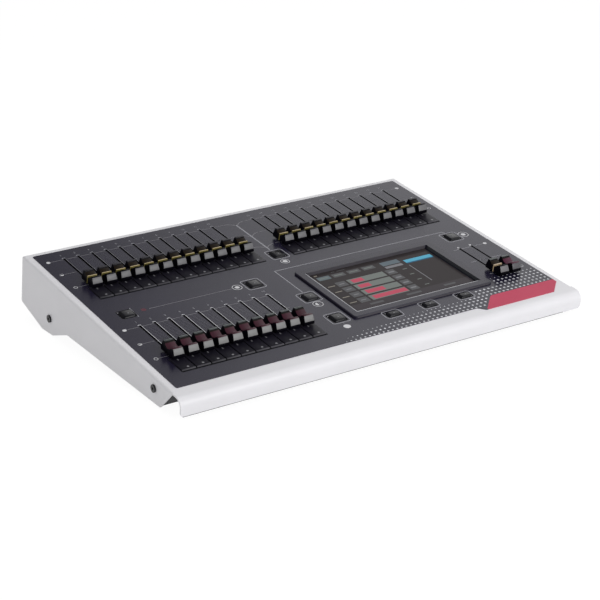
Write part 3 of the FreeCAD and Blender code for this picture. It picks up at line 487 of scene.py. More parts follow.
@dataclass(frozen=True)
class Lit(Finish):
    """Smooth surface that also gives off light, such as a lamp or part of the display's picture."""

    glow: float = 0.5

    def layers(self, graph: Graph) -> Layers:
        """Set the light that the surface gives off.

        Args:
            graph: The material's nodes.

        Returns:
            Grain for colour and gloss, and no height.
        """
        graph.feed(graph.shader, Emission_Color=(*self.colour, 1), Emission_Strength=self.glow)
        fine = graph.grain(self.grain)
        return graph.ranged(fine), fine, None


class Paint:
    """Every finish of the desk, by what it covers."""

    SHELL = PowderCoat("shell_powder_coat", "shell_paint", (0.778, 0.772, 0.80), 0.36,
                       grain=0.35, relief=0.006, variation=0.012)
    BASE = PowderCoat("base_powder_coat", "base_paint", (0.011, 0.010, 0.014), 0.55,
                      specular=0.10, grain=0.4, relief=0.012, variation=0.08)
    # Lip's lower edge: the sheet's cut edge, darkened as painted shade.
    LIP_EDGE_SHADE = PowderCoat("lip_edge_painted_shade", "shell_paint", (0.10, 0.10, 0.108), 0.5, specular=0.2, grain=0.35)
    FILM = Finish("fascia_film", "fascia_print", (0.014, 0.012, 0.028), 0.24, grain=0.3,
                  relief=0.0012, blotch=60.0, variation=0.10, spread=0.03)
    BEZEL = Finish("display_frame_plastic", "display_glass", (0.018, 0.016, 0.030), 0.30,
                   grain=0.3, relief=0.002, blotch=40.0, variation=0.10, spread=0.04)
    MASK = Finish("glass_black_mask", "display_glass", (0.014, 0.014, 0.020), 0.16,
                  specular=0.25, relief=0.0003, variation=0.1)
    # Inner walls of the display opening and the frame's front edge: strips painted as light,
    # lighter on the rear wall.
    RIM_SIDE_LIGHT = Finish("opening_side_wall_painted_light", "display_glass", (0.058, 0.062, 0.069), 0.5,
                      specular=0.2, variation=0.1)
    RIM_REAR_LIGHT = Finish("opening_rear_wall_painted_light", "display_glass", (0.085, 0.080, 0.092), 0.5,
                      specular=0.2, variation=0.1)
    CAP = CapPlastic("cap_black_plastic", "cap_black", (0.003, 0.0025, 0.005), 0.32,
                     specular=0.06, grain=0.25, relief=0.002)
    # Thin strips on the caps' crest, painted as highlights: greenish grey on the front bank and
    # masters, dimmer on the rear banks.
    CREST_BRIGHT = CapPlastic("cap_crest_painted_highlight", "cap_black", (0.10, 0.115, 0.112), 0.24,
                              grain=0.3, relief=0.001)
    CREST_DIM = CapPlastic("cap_crest_painted_highlight_dim", "cap_black", (0.022, 0.020, 0.028), 0.30, grain=0.3,
                           relief=0.001)
    # Rear half of the saddle top: brownish tone painted as a reflection.
    SADDLE = CapPlastic("cap_saddle_painted_reflection", "cap_black", (0.010, 0.006, 0.003), specular=0.18,
                        grain=0.3, relief=0.002, variation=0.25)
    LINE_YELLOW = CapPlastic("cap_line_yellow", "cap_black", (0.50, 0.40, 0.225), variation=0.08)
    LINE_CREAM = CapPlastic("cap_line_cream", "cap_black", (0.54, 0.43, 0.31), variation=0.08)
    # Side faces of the cap's line: darker copies of its colour, painted as shade.
    LINE_SIDE_SHADE_OLIVE = CapPlastic("cap_line_side_painted_shade_olive", "cap_black", (0.20, 0.17, 0.04), variation=0.15)
    LINE_SIDE_SHADE_CREAM = CapPlastic("cap_line_side_painted_shade_cream", "cap_black", (0.50, 0.38, 0.23), variation=0.08)
    INSERT_MAROON = CapPlastic("cap_insert_maroon", "cap_maroon", (0.042, 0.009, 0.018), 0.35,
                               specular=0.35)
    INSERT_RED = CapPlastic("cap_insert_red", "cap_maroon", (0.070, 0.014, 0.034), 0.35,
                            specular=0.30, variation=0.15)
    # Caps' front faces: grey painted on as the sheen of a soft box, lighter on the front bank,
    # darker on the red master.
    FACE_LIGHT = Ribbed("cap_face_painted_sheen_light", "cap_black", (0.192, 0.192, 0.192))
    FACE_GREY = Ribbed("cap_face_painted_sheen_grey", "cap_black", (0.142, 0.140, 0.148))
    FACE_DARK = Ribbed("cap_face_painted_sheen_dark", "cap_black", (0.070, 0.068, 0.078))
    KEY = Finish("key_black", "key_plastic", (0.009, 0.008, 0.014), 0.42, specular=0.20,
                 grain=0.3, relief=0.003, variation=0.2)
    KEY_GLOSS = Finish("key_black_gloss", "key_plastic", (0.005, 0.005, 0.008), 0.24,
                       specular=0.32, grain=0.3, relief=0.002, variation=0.2)
    # Front lip of the flash keys, painted lighter as a highlight.
    KEY_LIP_HIGHLIGHT = Finish("key_lip_painted_highlight", "key_plastic", (0.055, 0.053, 0.062), 0.42, specular=0.3,
                     grain=0.3, relief=0.003, variation=0.25)
    LAMP = Lit("key_lamp", "key_plastic", (0.20, 0.20, 0.215), 0.35, glow=0.06)
    STEEL = Brushed("lever_steel", "track_steel", (0.55, 0.55, 0.56), 0.35, metallic=1.0,
                    variation=0.08)
    TRACK = Brushed("track_brushed_steel", "track_steel", (0.5, 0.5, 0.5), 0.4, metallic=1.0,
                    variation=0.1)
    CONTACT = Brushed("contact_metal", "socket_plastic", (0.75, 0.62, 0.35), 0.3, metallic=1.0,
                      variation=0.06)
    SCREW = Brushed("screw_black", "screw_steel", (0.018, 0.018, 0.021), metallic=0.4,
                    variation=0.15)
    BOARD = Finish("board_green_laminate", "board_laminate", (0.02, 0.10, 0.05), 0.35, grain=0.8,
                   relief=0.01, variation=0.2)
    SWITCH = Finish("switch_black_plastic", "switch_plastic", (0.03, 0.03, 0.03), 0.5,
                    variation=0.1)
    SOCKET = Finish("socket_black_plastic", "socket_plastic", (0.018, 0.018, 0.02), grain=0.3,
                    variation=0.12)
    ROCKER = Finish("rocker_gloss_plastic", "rocker_plastic", (0.012, 0.012, 0.013), 0.2,
                    relief=0.001, variation=0.1)
    RUBBER = Finish("foot_black_rubber", "foot_rubber", (0.022, 0.022, 0.022), 0.75, relief=0.02,
                    variation=0.2)
    INK_WHITE = Ink("ink_white", "fascia_print", (0.66, 0.66, 0.68), variation=0.03)
    INK_LIGHT = Ink("ink_light", "fascia_print", (0.30, 0.30, 0.33))
    INK_DOT = Ink("ink_dot", "fascia_print", (0.60, 0.61, 0.64), variation=0.12)
    INK_GREY = Ink("ink_grey", "fascia_print", (0.165, 0.16, 0.18), 0.40, specular=0.4)
    INK_FAINT = Ink("ink_faint", "fascia_print", (0.026, 0.024, 0.042), 0.28, specular=0.5)
    # Black ink; also painted as shade in the key openings, in front of the flash keys and along the
    # display frame's foot.
    INK_BLACK = Ink("ink_black", "fascia_print", (0.003, 0.003, 0.004), 0.5, specular=0.06,
                    variation=0.1)
    INK_ROSE = Ink("ink_rose", "fascia_print", (0.10, 0.022, 0.038), 0.4, specular=0.4,
                   variation=0.06)
    BADGE = Finish("badge_red", "fascia_print", (0.54, 0.070, 0.125), 0.42, specular=0.12,
                   grain=0.3, relief=0.002, blotch=40.0)
    # Slot edges: light painted on as the lit edge of the sheet, dimmer on the rear banks.
    SLOT_EDGE_LIGHT = Finish("slot_edge_painted_light", "fascia_print", (0.60, 0.60, 0.63), 0.4)
    SLOT_EDGE_LIGHT_DIM = Finish("slot_edge_painted_light_dim", "fascia_print", (0.20, 0.20, 0.22), 0.4)


# ---------------------------------------------------------------- shaping
class Mould:
    """One mesh being shaped in the millimetres of a local frame.

    Flat shapes reach from the level low to the level high.
    """

    def __init__(self, low: float = 0.0, high: float = 0.0) -> None:
        """Start with an empty mesh and the levels of its flat shapes."""
        self.form = bmesh.new()
        self.low, self.high = low, high

    def push(self, faces: Iterable[Face], move: Sequence[float],
             keep: bool = True) -> None:
        """Extrude faces.

        Args:
            faces: The faces.
            move: How far the new faces move.
            keep: Whether the first faces stay and close the shape.
        """
        grown = bmesh.ops.extrude_face_region(self.form, geom=list(faces), use_keep_orig=keep)
        bmesh.ops.translate(self.form, verts=only(Vert, grown["geom"]), vec=move)

    def plate(self, faces: Iterable[Face], tone: int) -> None:
        """Give flat faces their finish and the thickness between the two levels.

        Args:
            faces: The flat faces.
            tone: Index of the finish that they take.
        """
        flat = list(faces)
        for face in flat:
            face.material_index = tone
        self.push(flat, (0, 0, self.high - self.low))

    def prism(self, outline: Iterable[Point], left: float, width: float) -> None:
        """Pull a section along x.

        Args:
            outline: Its y and z, anticlockwise.
            left: Where it starts.
            width: How far it is pulled.
        """
        corners = [self.form.verts.new((left, y, z)) for y, z in outline]
        self.push([self.form.faces.new(corners)], (width, 0, 0))
        bmesh.ops.recalc_face_normals(self.form, faces=self.form.faces[:])

    def polygon(self, points: Iterable[Point], tone: int = 0) -> None:
        """Plate with a straight-sided outline, given anticlockwise."""
        corners = [self.form.verts.new((x, y, self.low)) for x, y in points]
        self.plate([self.form.faces.new(corners)], tone)

    def box(self, left: float, right: float, front: float, rear: float, tone: int = 0) -> None:
        """Rectangular plate between its four edges."""
        self.polygon([(left, front), (right, front), (right, rear), (left, rear)], tone)

    def block(self, centre: Sequence[float], size: Sequence[float], tone: int = 0) -> None:
        """Rectangular block.

        Args:
            centre: Its middle.
            size: Its width, depth and height.
            tone: Index of the finish that it takes.
        """
        matrix = Matrix.Translation(Vector(centre)) @ Matrix.Diagonal((*size, 1.0))
        corners = bmesh.ops.create_cube(self.form, size=1.0, matrix=matrix)["verts"]
        for face in {face for corner in corners for face in corner.link_faces}:
            face.material_index = tone

    def disc(self, x: float, y: float, radius: float, sides: int = 20, tone: int = 0) -> None:
        """Flat round disc."""
        rim = bmesh.ops.create_circle(self.form, cap_ends=True, radius=radius, segments=sides,
                                      matrix=Matrix.Translation((x, y, self.low)))["verts"]
        self.plate(rim[0].link_faces, tone)

    def ring(self, x: float, y: float, inner: float, outer: float, sides: int = 28) -> None:
        """Flat ring, spun from its section.

        Args:
            x: Its middle.
            y: Its middle.
            inner: Its inner radius.
            outer: Its outer radius.
            sides: Steps round it.
        """
        corners = [self.form.verts.new((x + reach, y, level)) for reach, level in (
            (inner, self.low), (outer, self.low), (outer, self.high), (inner, self.high))]
        edges = [self.form.edges.new((corners[index - 1], corners[index])) for index in range(4)]
        bmesh.ops.spin(self.form, geom=corners + edges, cent=(x, y, 0), axis=(0, 0, 1),
                       angle=2 * math.pi, steps=sides, use_merge=True)

    def ribbon(self, points: Sequence[Point], width: float, tone: int = 0,
               closed: bool = False) -> None:
        """Flat line of even width along a path.

        Args:
            points: Points of its middle line.
            width: Width of the line.
            tone: Index of the finish that it takes.
            closed: Whether it comes back to its first point.
        """
        path = [Vector(point) for point in points]
        sides = []
        for index, here in enumerate(path):
            before = path[index - 1] if closed or index else None
            after = path[(index + 1) % len(path)] if closed or index + 1 < len(path) else None
            into = (here - before).normalized() if before else (after - here).normalized()
            out = (after - here).normalized() if after else into
            across = Vector((-(into + out).y, (into + out).x)).normalized()
            reach = width / 2 / max(0.35, across.dot(Vector((-into.y, into.x))))
            sides.append([(*(here + across * reach * side), self.low) for side in (1, -1)])
        left, right = (self.form.verts.new(place) for place in sides[0])
        first = edge = self.form.edges.new((left, right))
        faces = []
        for places in sides[1:]:
            grown = bmesh.ops.extrude_edge_only(self.form, edges=[edge])["geom"]
            faces += only(Face, grown)
            old = left.co.copy()
            left, right = sorted(only(Vert, grown),
                                 key=lambda vertex: (vertex.co - old).length)
            edge = self.form.edges.get((left, right))
            left.co, right.co = places
        if closed:
            faces += bmesh.ops.bridge_loops(self.form, edges=[first, edge])["faces"]
        self.plate(faces, tone)

    def soften(self, offset: float, segments: int, sharper: float,
               choose: Callable[[Edge], bool]) -> None:
        """Round the edges between faces that meet at an angle.

        Args:
            offset: Width of the rounding on each face.
            segments: Steps in the rounding.
            sharper: Smallest angle that is rounded, in degrees.
            choose: Test that an edge has to pass as well.
        """
        edges = [edge for edge in self.form.edges if len(edge.link_faces) == 2
                 and edge.calc_face_angle() > math.radians(sharper) and choose(edge)]
        bmesh.ops.bevel(self.form, geom=edges, offset=offset, segments=segments, affect="EDGES",
                        profile=0.5, material=-1, clamp_overlap=True)

    def cut(self, place: Sequence[float], normal: Sequence[float],
            clear_outer: bool = False) -> None:
        """Cut the mesh along a plane, and clear what lies on the side of its normal if asked."""
        everything = self.form.verts[:] + self.form.edges[:] + self.form.faces[:]
        bmesh.ops.bisect_plane(self.form, geom=everything, plane_co=place, plane_no=normal,
                               clear_outer=clear_outer)

    def take(self, other: Mould, place: Matrix) -> None:
        """Add another mesh to this one, and empty the other.

        Args:
            other: The other mesh.
            place: From its own frame to this mesh's.
        """
        scratch = bpy.data.meshes.new("scratch")
        other.form.to_mesh(scratch)
        other.form.free()
        scratch.transform(place)
        self.form.from_mesh(scratch)
        bpy.data.meshes.remove(scratch)

    def cast(self, name: str, finishes: Sequence[Finish], body: str, place: Matrix,
             smooth: float = 30.0) -> bpy.types.Object:
        """Make the object, put its place into its mesh and let it ride on a body.

        Args:
            name: Name of the piece.
            finishes: Its finishes, by the index that its faces carry.
            body: The body that it moves with.
            place: From the local millimetres to the row frame.
            smooth: Angle under which neighbouring faces shade as one, in degrees.

        Returns:
            The finished piece.
        """
        bmesh.ops.recalc_face_normals(self.form, faces=self.form.faces[:])
        mesh = bpy.data.meshes.new(name)
        self.form.to_mesh(mesh)
        self.form.free()
        mesh.transform(place)
        mesh.polygons.foreach_set("use_smooth", [True] * len(mesh.polygons))
        mesh.set_sharp_from_angle(angle=math.radians(smooth))
        return settle(name, mesh, finishes, body)


def link(name: str, data: Any) -> bpy.types.Object:
    """Put a new object at the scene's origin.

    Args:
        name: Its name.
        data: Its mesh, light, camera or text.

    Returns:
        The object.
    """
    made = bpy.data.objects.new(name, data)
    bpy.context.scene.collection.objects.link(made)
    return made


def settle(name: str, mesh: bpy.types.Mesh, finishes: Sequence[Finish],
           body: str) -> bpy.types.Object:
    """Make a piece from a finished mesh and let it ride on a body.

    Args:
        name: Name of the piece.
        mesh: Its mesh, in its place in the row frame.
        finishes: Its finishes, by the index that its faces carry.
        body: The body that it moves with.

    Returns:
        The finished piece.
    """
    for finish in finishes:
        mesh.materials.append(finish.material())
    piece = link(name, mesh)
    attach(piece, body)
    LOG.info("%s: %d faces on %s", name, len(mesh.polygons), body)
    return piece


def rounded(corners: Sequence[tuple[Point, float]], steps: int = 5) -> list[Point]:
    """Outline with rounded corners, given anticlockwise.

    Args:
        corners: Each corner with its radius.
        steps: Steps in each rounding.

    Returns:
        The points of the outline.
    """
    outline = []
    places = [Vector(place) for place, _ in corners]
    for index, (_, radius) in enumerate(corners):
        here = places[index]
        back = (places[index - 1] - here).normalized()
        ahead = (places[(index + 1) % len(places)] - here).normalized()
        half = back.angle(ahead) / 2
        centre = here + (back + ahead).normalized() * radius / math.sin(half)
        start = here + back * radius / math.tan(half) - centre
        turn = start.angle_signed(here + ahead * radius / math.tan(half) - centre)
        outline += [tuple(centre + Matrix.Rotation(-turn * step / steps, 2) @ start)
                    for step in range(steps + 1)]
    return outline


def rounded_box(x: float, y: float, width: float, depth: float, radius: float,
                steps: int = 4) -> list[Point]:
    """Outline of a rectangle round x and y with rounded corners, anticlockwise."""
    return rounded([((x + side_x * width / 2, y + side_y * depth / 2), radius)
                    for side_x, side_y in ((1, 1), (-1, 1), (-1, -1), (1, -1))], steps)


@dataclass
class Assembly:
    """Part of the desk that is built and dressed as one."""

    frame: DeskFrame
    layout: Layout
    nodes: dict[str, bpy.types.Object]

    def dress(self, **finishes: Finish) -> None:
        """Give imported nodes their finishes, by node name."""
        for name, finish in finishes.items():
            self.nodes[name].data.materials.clear()
            self.nodes[name].data.materials.append(finish.material())

    def fix(self, mould: Mould, name: str, *finishes: Finish) -> None:
        """Put a piece on the deck that is fixed to the case."""
        mould.cast(name, finishes, "case", self.frame.deck)

    def replace(self, mould: Mould, node: str, ending: str, finishes: Sequence[Finish],
                x: float = 0.0, y: float = 0.0, smooth: float = 30.0) -> None:
        """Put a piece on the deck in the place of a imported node, to move as the node does.

        Args:
            mould: Its shape.
            node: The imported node.
            ending: What the piece's name adds to the node's.
            finishes: Its finishes, by the index that its faces carry.
            x: Deck x of the shape's origin.
            y: Deck y of the shape's origin.
            smooth: Angle under which neighbouring faces shade as one, in degrees.
        """
        place = self.frame.deck @ Matrix.Translation((x, y, 0))
        piece = mould.cast(f"{node}_{ending}", finishes, node, place, smooth)
        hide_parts(node)


# ---------------------------------------------------------------- case
@dataclass
class Housing(Assembly):
    """Folded case with its lip's cut edge darkened as painted shade, base pan, screws and feet."""

    lip_shade_middle: tuple[float, float, float] = (-10.0, -20.8, -16.55)
    lip_shade_size: tuple[float, float, float] = (432.4, 0.06, 0.5)

    def build(self) -> None:
        """Dress the case and add the lip's edge strip, darkened as painted shade."""
        self.dress(top_shell=Paint.SHELL, base_pan=Paint.BASE, case_screws=Paint.SCREW,
                   rubber_feet=Paint.RUBBER)
        lip_shade = Mould()
        lip_shade.block(self.lip_shade_middle, self.lip_shade_size)
        self.fix(lip_shade, "lip_edge_painted_shade", Paint.LIP_EDGE_SHADE)


@dataclass
class Inside(Assembly):
    """Potentiometer cases, switches and boards under the deck."""

    def build(self) -> None:
        """Dress the inner pieces."""
        self.dress(fader_tracks=Paint.TRACK, key_switches=Paint.SWITCH,
                   circuit_boards=Paint.BOARD)


# ---------------------------------------------------------------- fascia printing
@dataclass
class Fascia(Assembly):
    """Printed overlay: lines, level marks, numbers, dots and key frames, with painted light
    on the slot edges and painted shade round the keys.
    """

    ink: float = 0.04
    level_dot: float = 2.1
    level_rim: float = 0.5
    half_rim: float = 0.35
    line: float = 0.7
    slot_clearance: float = 2.0
    scale_steps: int = 24
    tick_margins: Point = (3.0, 2.4)
    trunk_x: float = 0.5
    trunk_ends: Point = (200.0, 266.0)
    trunk_width: float = 1.7
    branch_width: float = 1.1
    branch_reach: Point = (11.0, 6.0)
    bar_width: float = 0.8
    square_frame: Point = (20.0, 20.0)
    soft_frame: Point = (19.6, 14.0)
    frame_corner: float = 2.8
    key_opening: float = 14.3
    soft_opening: float = 9.3
    gap_shade: float = 1.0
    flash_shade_width: float = 1.3
    slot: Point = (2.2, 64.0)
    slot_overrun: float = 2.0
    edge_light_offset: float = 1.14
    edge_light_arc: float = 1.5
    edge_light_arc_width: float = 0.9
    master_dot: float = 1.35
    master_dot_rise: float = 3.4
    liner: float = 0.12
    dot_pitch: Point = (5.25, 5.4)
    dot_start: Point = (-45.75, 1.2)
    dot_counts: tuple[int, int] = (51, 9)
    badge_left: float = 118.0
    badge_rear: float = 15.0
    badge_slope: float = 1.03
    number_rise: float = 68.4
    number_size: float = 4.0

    @property
    def high(self) -> float:
        """Top of the ink."""
        return self.layout.fascia_top + self.ink

    def sheet(self) -> Mould:
        """Empty mesh for printing on the overlay."""
        return Mould(self.layout.fascia_top, self.high)

    def levels(self, bank: Bank) -> list[float]:
        """Deck y of a bank's marks for full, half and zero."""
        return [self.layout.zero(bank) + self.layout.travel * share for share in (1.0, 0.5, 0.0)]

    def level_marks(self) -> None:
        """Full, half and empty dots beside the banks; beside the masters there is no half."""
        mould, radius = self.sheet(), self.level_dot
        for bank, x in ((Bank.REAR_LEFT, -212.8), (Bank.FRONT, -211.8), (Bank.REAR_RIGHT, 212.8),
                        (Bank.MASTER, 211.8)):
            full, half, empty = self.levels(bank)
            mould.disc(x, full, radius)
            mould.ring(x, empty, radius - self.level_rim, radius)
            if bank is not Bank.MASTER:
                mould.polygon(arc(x, half, radius, 180, 360, 12))
                mould.ring(x, half, radius - self.half_rim, radius)
        self.fix(mould, "level_marks", Paint.INK_WHITE)

    def level_lines(self) -> None:
        """Thin lines from the dots through the banks, in stretches that stop at each slot."""
        mould = self.sheet()
        for bank, start, end in ((Bank.REAR_LEFT, -209.9, -12.5), (Bank.REAR_RIGHT, 14.0, 209.9),
                                 (Bank.FRONT, -208.9, -50.0), (Bank.MASTER, 170.5, 208.9)):
            stops = [start, *(x + side * self.slot_clearance for x in self.layout.columns(bank)
                              for side in (-1, 1)), end]
            for y in self.levels(bank):
                for left, right in zip(stops[::2], stops[1::2]):
                    mould.ribbon([(left, y), (right, y)], self.line, int(bank is Bank.MASTER))
        self.fix(mould, "level_lines", Paint.INK_GREY, Paint.INK_LIGHT)

    def scale_ticks(self) -> None:
        """Fine scale between the slots of every bank."""
        mould, layout = self.sheet(), self.layout
        start, end = self.tick_margins[0], layout.column_pitch - self.tick_margins[1]
        for bank in Bank:
            for x in layout.columns(bank)[:-1]:
                for step in range(1, self.scale_steps):
                    y = layout.zero(bank) + layout.travel * step / self.scale_steps
                    mould.ribbon([(x + start, y), (x + end, y)], self.line)
        self.fix(mould, "scale_ticks", Paint.INK_FAINT)

    def fork(self) -> None:
        """Trunk between the rear banks, with a branch to each level of both banks."""
        mould, x = self.sheet(), self.trunk_x
        mould.ribbon([(x, end) for end in self.trunk_ends], self.trunk_width, 1)
        across, rise = self.branch_reach
        for y in self.levels(Bank.REAR_LEFT):
            for side in (-1, 1):
                mould.ribbon([(x + side * (1.0 + across * share), y - rise * (1 - share) ** 2)
                              for share in (0.0, 0.2, 0.45, 0.7, 1.0)], self.branch_width)
        self.fix(mould, "bank_fork", Paint.INK_GREY, Paint.INK_LIGHT)

    def frame_lines(self) -> None:
        """Line from the left key, and the line from the display keys to the master key."""
        mould = self.sheet()
        mould.ribbon([(-171.0, 141.4), (-78.5, 141.6)], self.bar_width)
        mould.ribbon([(-21.9, 104.4), (-21.9, 155.5), (187.0, 155.5), (189.2, 152.8)],
                     self.branch_width, 1)
        self.fix(mould, "frame_lines", Paint.INK_GREY, Paint.INK_LIGHT)

    def key_frames(self) -> None:
        """Rounded outline of every single key and black ink painted as shade round it; the
        left key has one bar.
        """
        outlines, gap_shades = self.sheet(), self.sheet()
        squares = self.layout.square_keys()
        boxes = [(place, self.square_frame, self.key_opening) for place in squares.values()]
        boxes += [(place, self.soft_frame, self.soft_opening)
                  for place in self.layout.soft_keys().values()]
        for (x, y), frame, opening in boxes:
            if (x, y) == squares["aux_key_left"]:
                outlines.ribbon([(x + 7.9, y - 9.3), (x + 7.9, y + 9.3)], 0.85)
            else:
                outline = rounded_box(x, y, *frame, self.frame_corner)
                outlines.ribbon(outline, 1.0, closed=True)
            # Black ring painted as the shade in the opening round the key.
            gap_shade = rounded_box(x, y, self.key_opening + self.gap_shade, opening + self.gap_shade, 1.8)
            gap_shades.ribbon(gap_shade, self.gap_shade, closed=True)
        self.fix(outlines, "key_outlines", Paint.INK_LIGHT)
        self.fix(gap_shades, "key_gap_shades", Paint.INK_BLACK)

    def flash_front_shades(self) -> None:
        """Black strip painted as the shade in front of every bank of flash keys."""
        mould, half = self.sheet(), self.layout.column_pitch / 2
        for _, columns, front in self.layout.flash_banks():
            y = front - 0.35 - self.flash_shade_width / 2
            mould.ribbon([(columns[0] - half, y), (columns[-1] + half, y)], self.flash_shade_width)
        self.fix(mould, "flash_front_shades", Paint.INK_BLACK)

    def signal_dots(self) -> None:
        """Round signs beside the keys: a white dot or half dot, thin rings and short bars."""
        mould = self.sheet()
        for x, y, dot in ((-73.5, 141.9, 2.4), (0.1, 170.3, 2.6), (-22.7, 26.4, 3.6),
                          (204.7, 140.9, 2.6)):
            mould.disc(x, y, dot)
        for x, y, halo in ((-73.5, 141.9, 5.2), (0.1, 170.3, 4.8), (-22.0, 76.9, 5.4),
                           (204.7, 140.9, 5.8)):
            mould.ring(x, y, halo - 0.6, halo)
        mould.polygon(arc(-22.0, 76.9, 2.8, 90, 270, 12))
        for x, start, end in ((-20.4, 79.3, 74.5), (0.8, 175.0, 178.0), (-22.0, 32.2, 34.4)):
            mould.ribbon([(x, start), (x, end)], self.bar_width, 1)
        mould.disc(-176.6, 141.7, 2.6, tone=2)
        self.fix(mould, "signal_dots", Paint.INK_WHITE, Paint.INK_GREY, Paint.INK_ROSE)

    def slot_edge_lights(self) -> None:
        """Light painted as the lit sheet edge along the right side and the rear end of every
        slot, dimmer on the rear banks.
        """
        layout = self.layout
        for name, banks, width, side, end in (
                ("slot_edge_lights_rear", (Bank.REAR_LEFT, Bank.REAR_RIGHT), 0.42, Paint.SLOT_EDGE_LIGHT_DIM,
                 Paint.INK_LIGHT),
                ("slot_edge_lights_front", (Bank.FRONT,), 0.55, Paint.SLOT_EDGE_LIGHT, Paint.SLOT_EDGE_LIGHT)):
            mould = self.sheet()
            for bank in banks:
                start = layout.zero(bank) - self.slot_overrun
                rear = layout.zero(bank) + layout.travel + self.slot_overrun
                for x in layout.columns(bank):
                    # Strip and arc painted as light on the slot's edge; the rear banks' arcs use
                    # the light grey ink.
                    middle = x + self.edge_light_offset + width / 2
                    mould.ribbon([(middle, start), (middle, rear - 0.6)], width)
                    bow = arc(x, rear + 0.35, self.edge_light_arc, 0, 180, 6, 1 / self.edge_light_arc)
                    mould.ribbon(bow, self.edge_light_arc_width, 1)
            self.fix(mould, name, side, end)
        mould = self.sheet()
        y = layout.front_zero + layout.travel + self.master_dot_rise
        for x in layout.columns(Bank.MASTER):
            mould.disc(x, y, self.master_dot)
        self.fix(mould, "master_dots", Paint.INK_WHITE)

    def slot_liners(self) -> None:
        """Black dust liner round the inside of every slot."""
        layout = self.layout
        mould = Mould(-layout.sheet, layout.fascia_top)
        width, length = (size - self.liner for size in self.slot)
        for bank in Bank:
            for x in layout.columns(bank):
                middle = layout.zero(bank) + layout.travel / 2
                path = rounded_box(x, middle, width, length, 1.0, 2)
                mould.ribbon(path, self.liner, closed=True)
        self.fix(mould, "slot_liners", Paint.INK_BLACK)

    def halftone(self) -> None:
        """Dots that grow towards the front right corner, cut off at the front edge."""
        mould = self.sheet()
        for row in range(self.dot_counts[1]):
            for column in range(self.dot_counts[0]):
                x = self.dot_start[0] + self.dot_pitch[0] * column
                y = self.dot_start[1] + self.dot_pitch[1] * row
                radius = self.dot_radius(x, y)
                if radius > 0.3:
                    mould.disc(x, y, radius, 12)
        mould.cut((0, 0.05, 0), (0, -1, 0), clear_outer=True)
        self.fix(mould, "halftone_dots", Paint.INK_DOT)

    def dot_radius(self, x: float, y: float) -> float:
        """Radius of the halftone dot at a place on the deck.

        Args:
            x: Deck x of the dot.
            y: Deck y of the dot.

        Returns:
            The radius, or 0 where no dot is printed.
        """
        stops = ((-44.0, 1.0), (-32.0, 10.0), (0.0, 15.5), (60.0, 20.5), (112.0, 20.5),
                 (130.0, 33.0), (150.0, 42.0), (172.0, 47.0), (230.0, 49.0))
        reach = 0.0
        for (start, low), (end, high) in zip(stops, stops[1:]):
            if start <= x <= end:
                reach = low + (high - low) * (x - start) / (end - start)
        near_key = any(abs(x - key_x) < 11.2 and abs(y - key_y) < 8.4
                       for key_x, key_y in self.layout.soft_keys().values())
        half_frame = self.layout.display_width / 2 + 1.5
        near_display = abs(x - self.layout.display_x) < half_frame and y > 33.0
        if x > 219.3 or near_key or near_display or self.on_badge(x, y, 1.2):
            return 0.0
        largest = 0.98 + 0.22 * min(1.0, max(0.0, (x + 40.0) / 170.0))
        return largest * min(1.0, max(0.0, 0.25 + (reach - y) / 9.0))

    def on_badge(self, x: float, y: float, margin: float) -> bool:
        """Whether a place lies on the coloured panel, with a margin round it."""
        across = x - self.badge_left + margin
        return across > 0 and y - margin < min(self.badge_rear, across * self.badge_slope
                                               - self.layout.tab_reach)

    def badge(self) -> None:
        """Plain coloured panel on the tab, bare where the real one has words."""
        mould = Mould(0.03, self.high)
        edge, reach = self.layout.fascia_width / 2 + 0.04, self.layout.tab_reach + 0.04
        mould.polygon(rounded([((self.badge_left + 1.0, -reach), 0.8), ((edge - 17.2, -reach), 2.5),
                               ((edge, 9.7), 2.5), ((edge, self.badge_rear), 2.0),
                               ((140.5, self.badge_rear), 4.5)]))
        self.fix(mould, "tab_panel", Paint.BADGE)

    def numbers(self) -> None:
        """Channel numbers over the slots."""
        for row, (bank, first) in enumerate(((Bank.REAR_LEFT, 1), (Bank.REAR_RIGHT, 13),
                                             (Bank.FRONT, 1))):
            y = self.layout.zero(bank) + self.number_rise
            for index, x in enumerate(self.layout.columns(bank)):
                self.figure(f"number_{row}_{index:02d}", str(first + index), x, y)

    def figure(self, name: str, text: str, x: float, y: float) -> None:
        """Print one short text, centred on a place.

        Args:
            name: Name of the piece.
            text: What it says.
            x: Deck x of its middle.
            y: Deck y of its foot.
        """
        curve = bpy.data.curves.new(name, "FONT")
        curve.body = text
        curve.size = self.number_size
        curve.align_x = "CENTER"
        curve.extrude = self.ink / 2
        curve.resolution_u = 2
        holder = link(name, curve)
        bpy.context.view_layer.update()
        mesh = bpy.data.meshes.new_from_object(holder)
        bpy.data.objects.remove(holder)
        bpy.data.curves.remove(curve)
        middle = self.layout.fascia_top + self.ink / 2
        mesh.transform(self.frame.deck @ Matrix.Translation((x, y, middle)))
        mesh.materials.clear()
        settle(name, mesh, (Paint.INK_LIGHT,), "case")

    def build(self) -> None:
        """Dress the overlay, print on it, and paint light and shade onto it."""
        self.dress(fascia_overlay=Paint.FILM)
        for step in (self.level_marks, self.level_lines, self.scale_ticks, self.fork,
                     self.frame_lines, self.key_frames, self.flash_front_shades, self.signal_dots,
                     self.slot_edge_lights, self.slot_liners, self.halftone, self.badge, self.numbers):
            step()


# ---------------------------------------------------------------- faders
class Tone(Enum):
    """Finishes of a fader, by the index that its faces carry."""

    BODY = 0
    LINE = 1
    FACE = 2
    LEVER = 3
    SLIDER = 4
    CREST = 5
    SADDLE = 6
    LINE_SIDE = 7


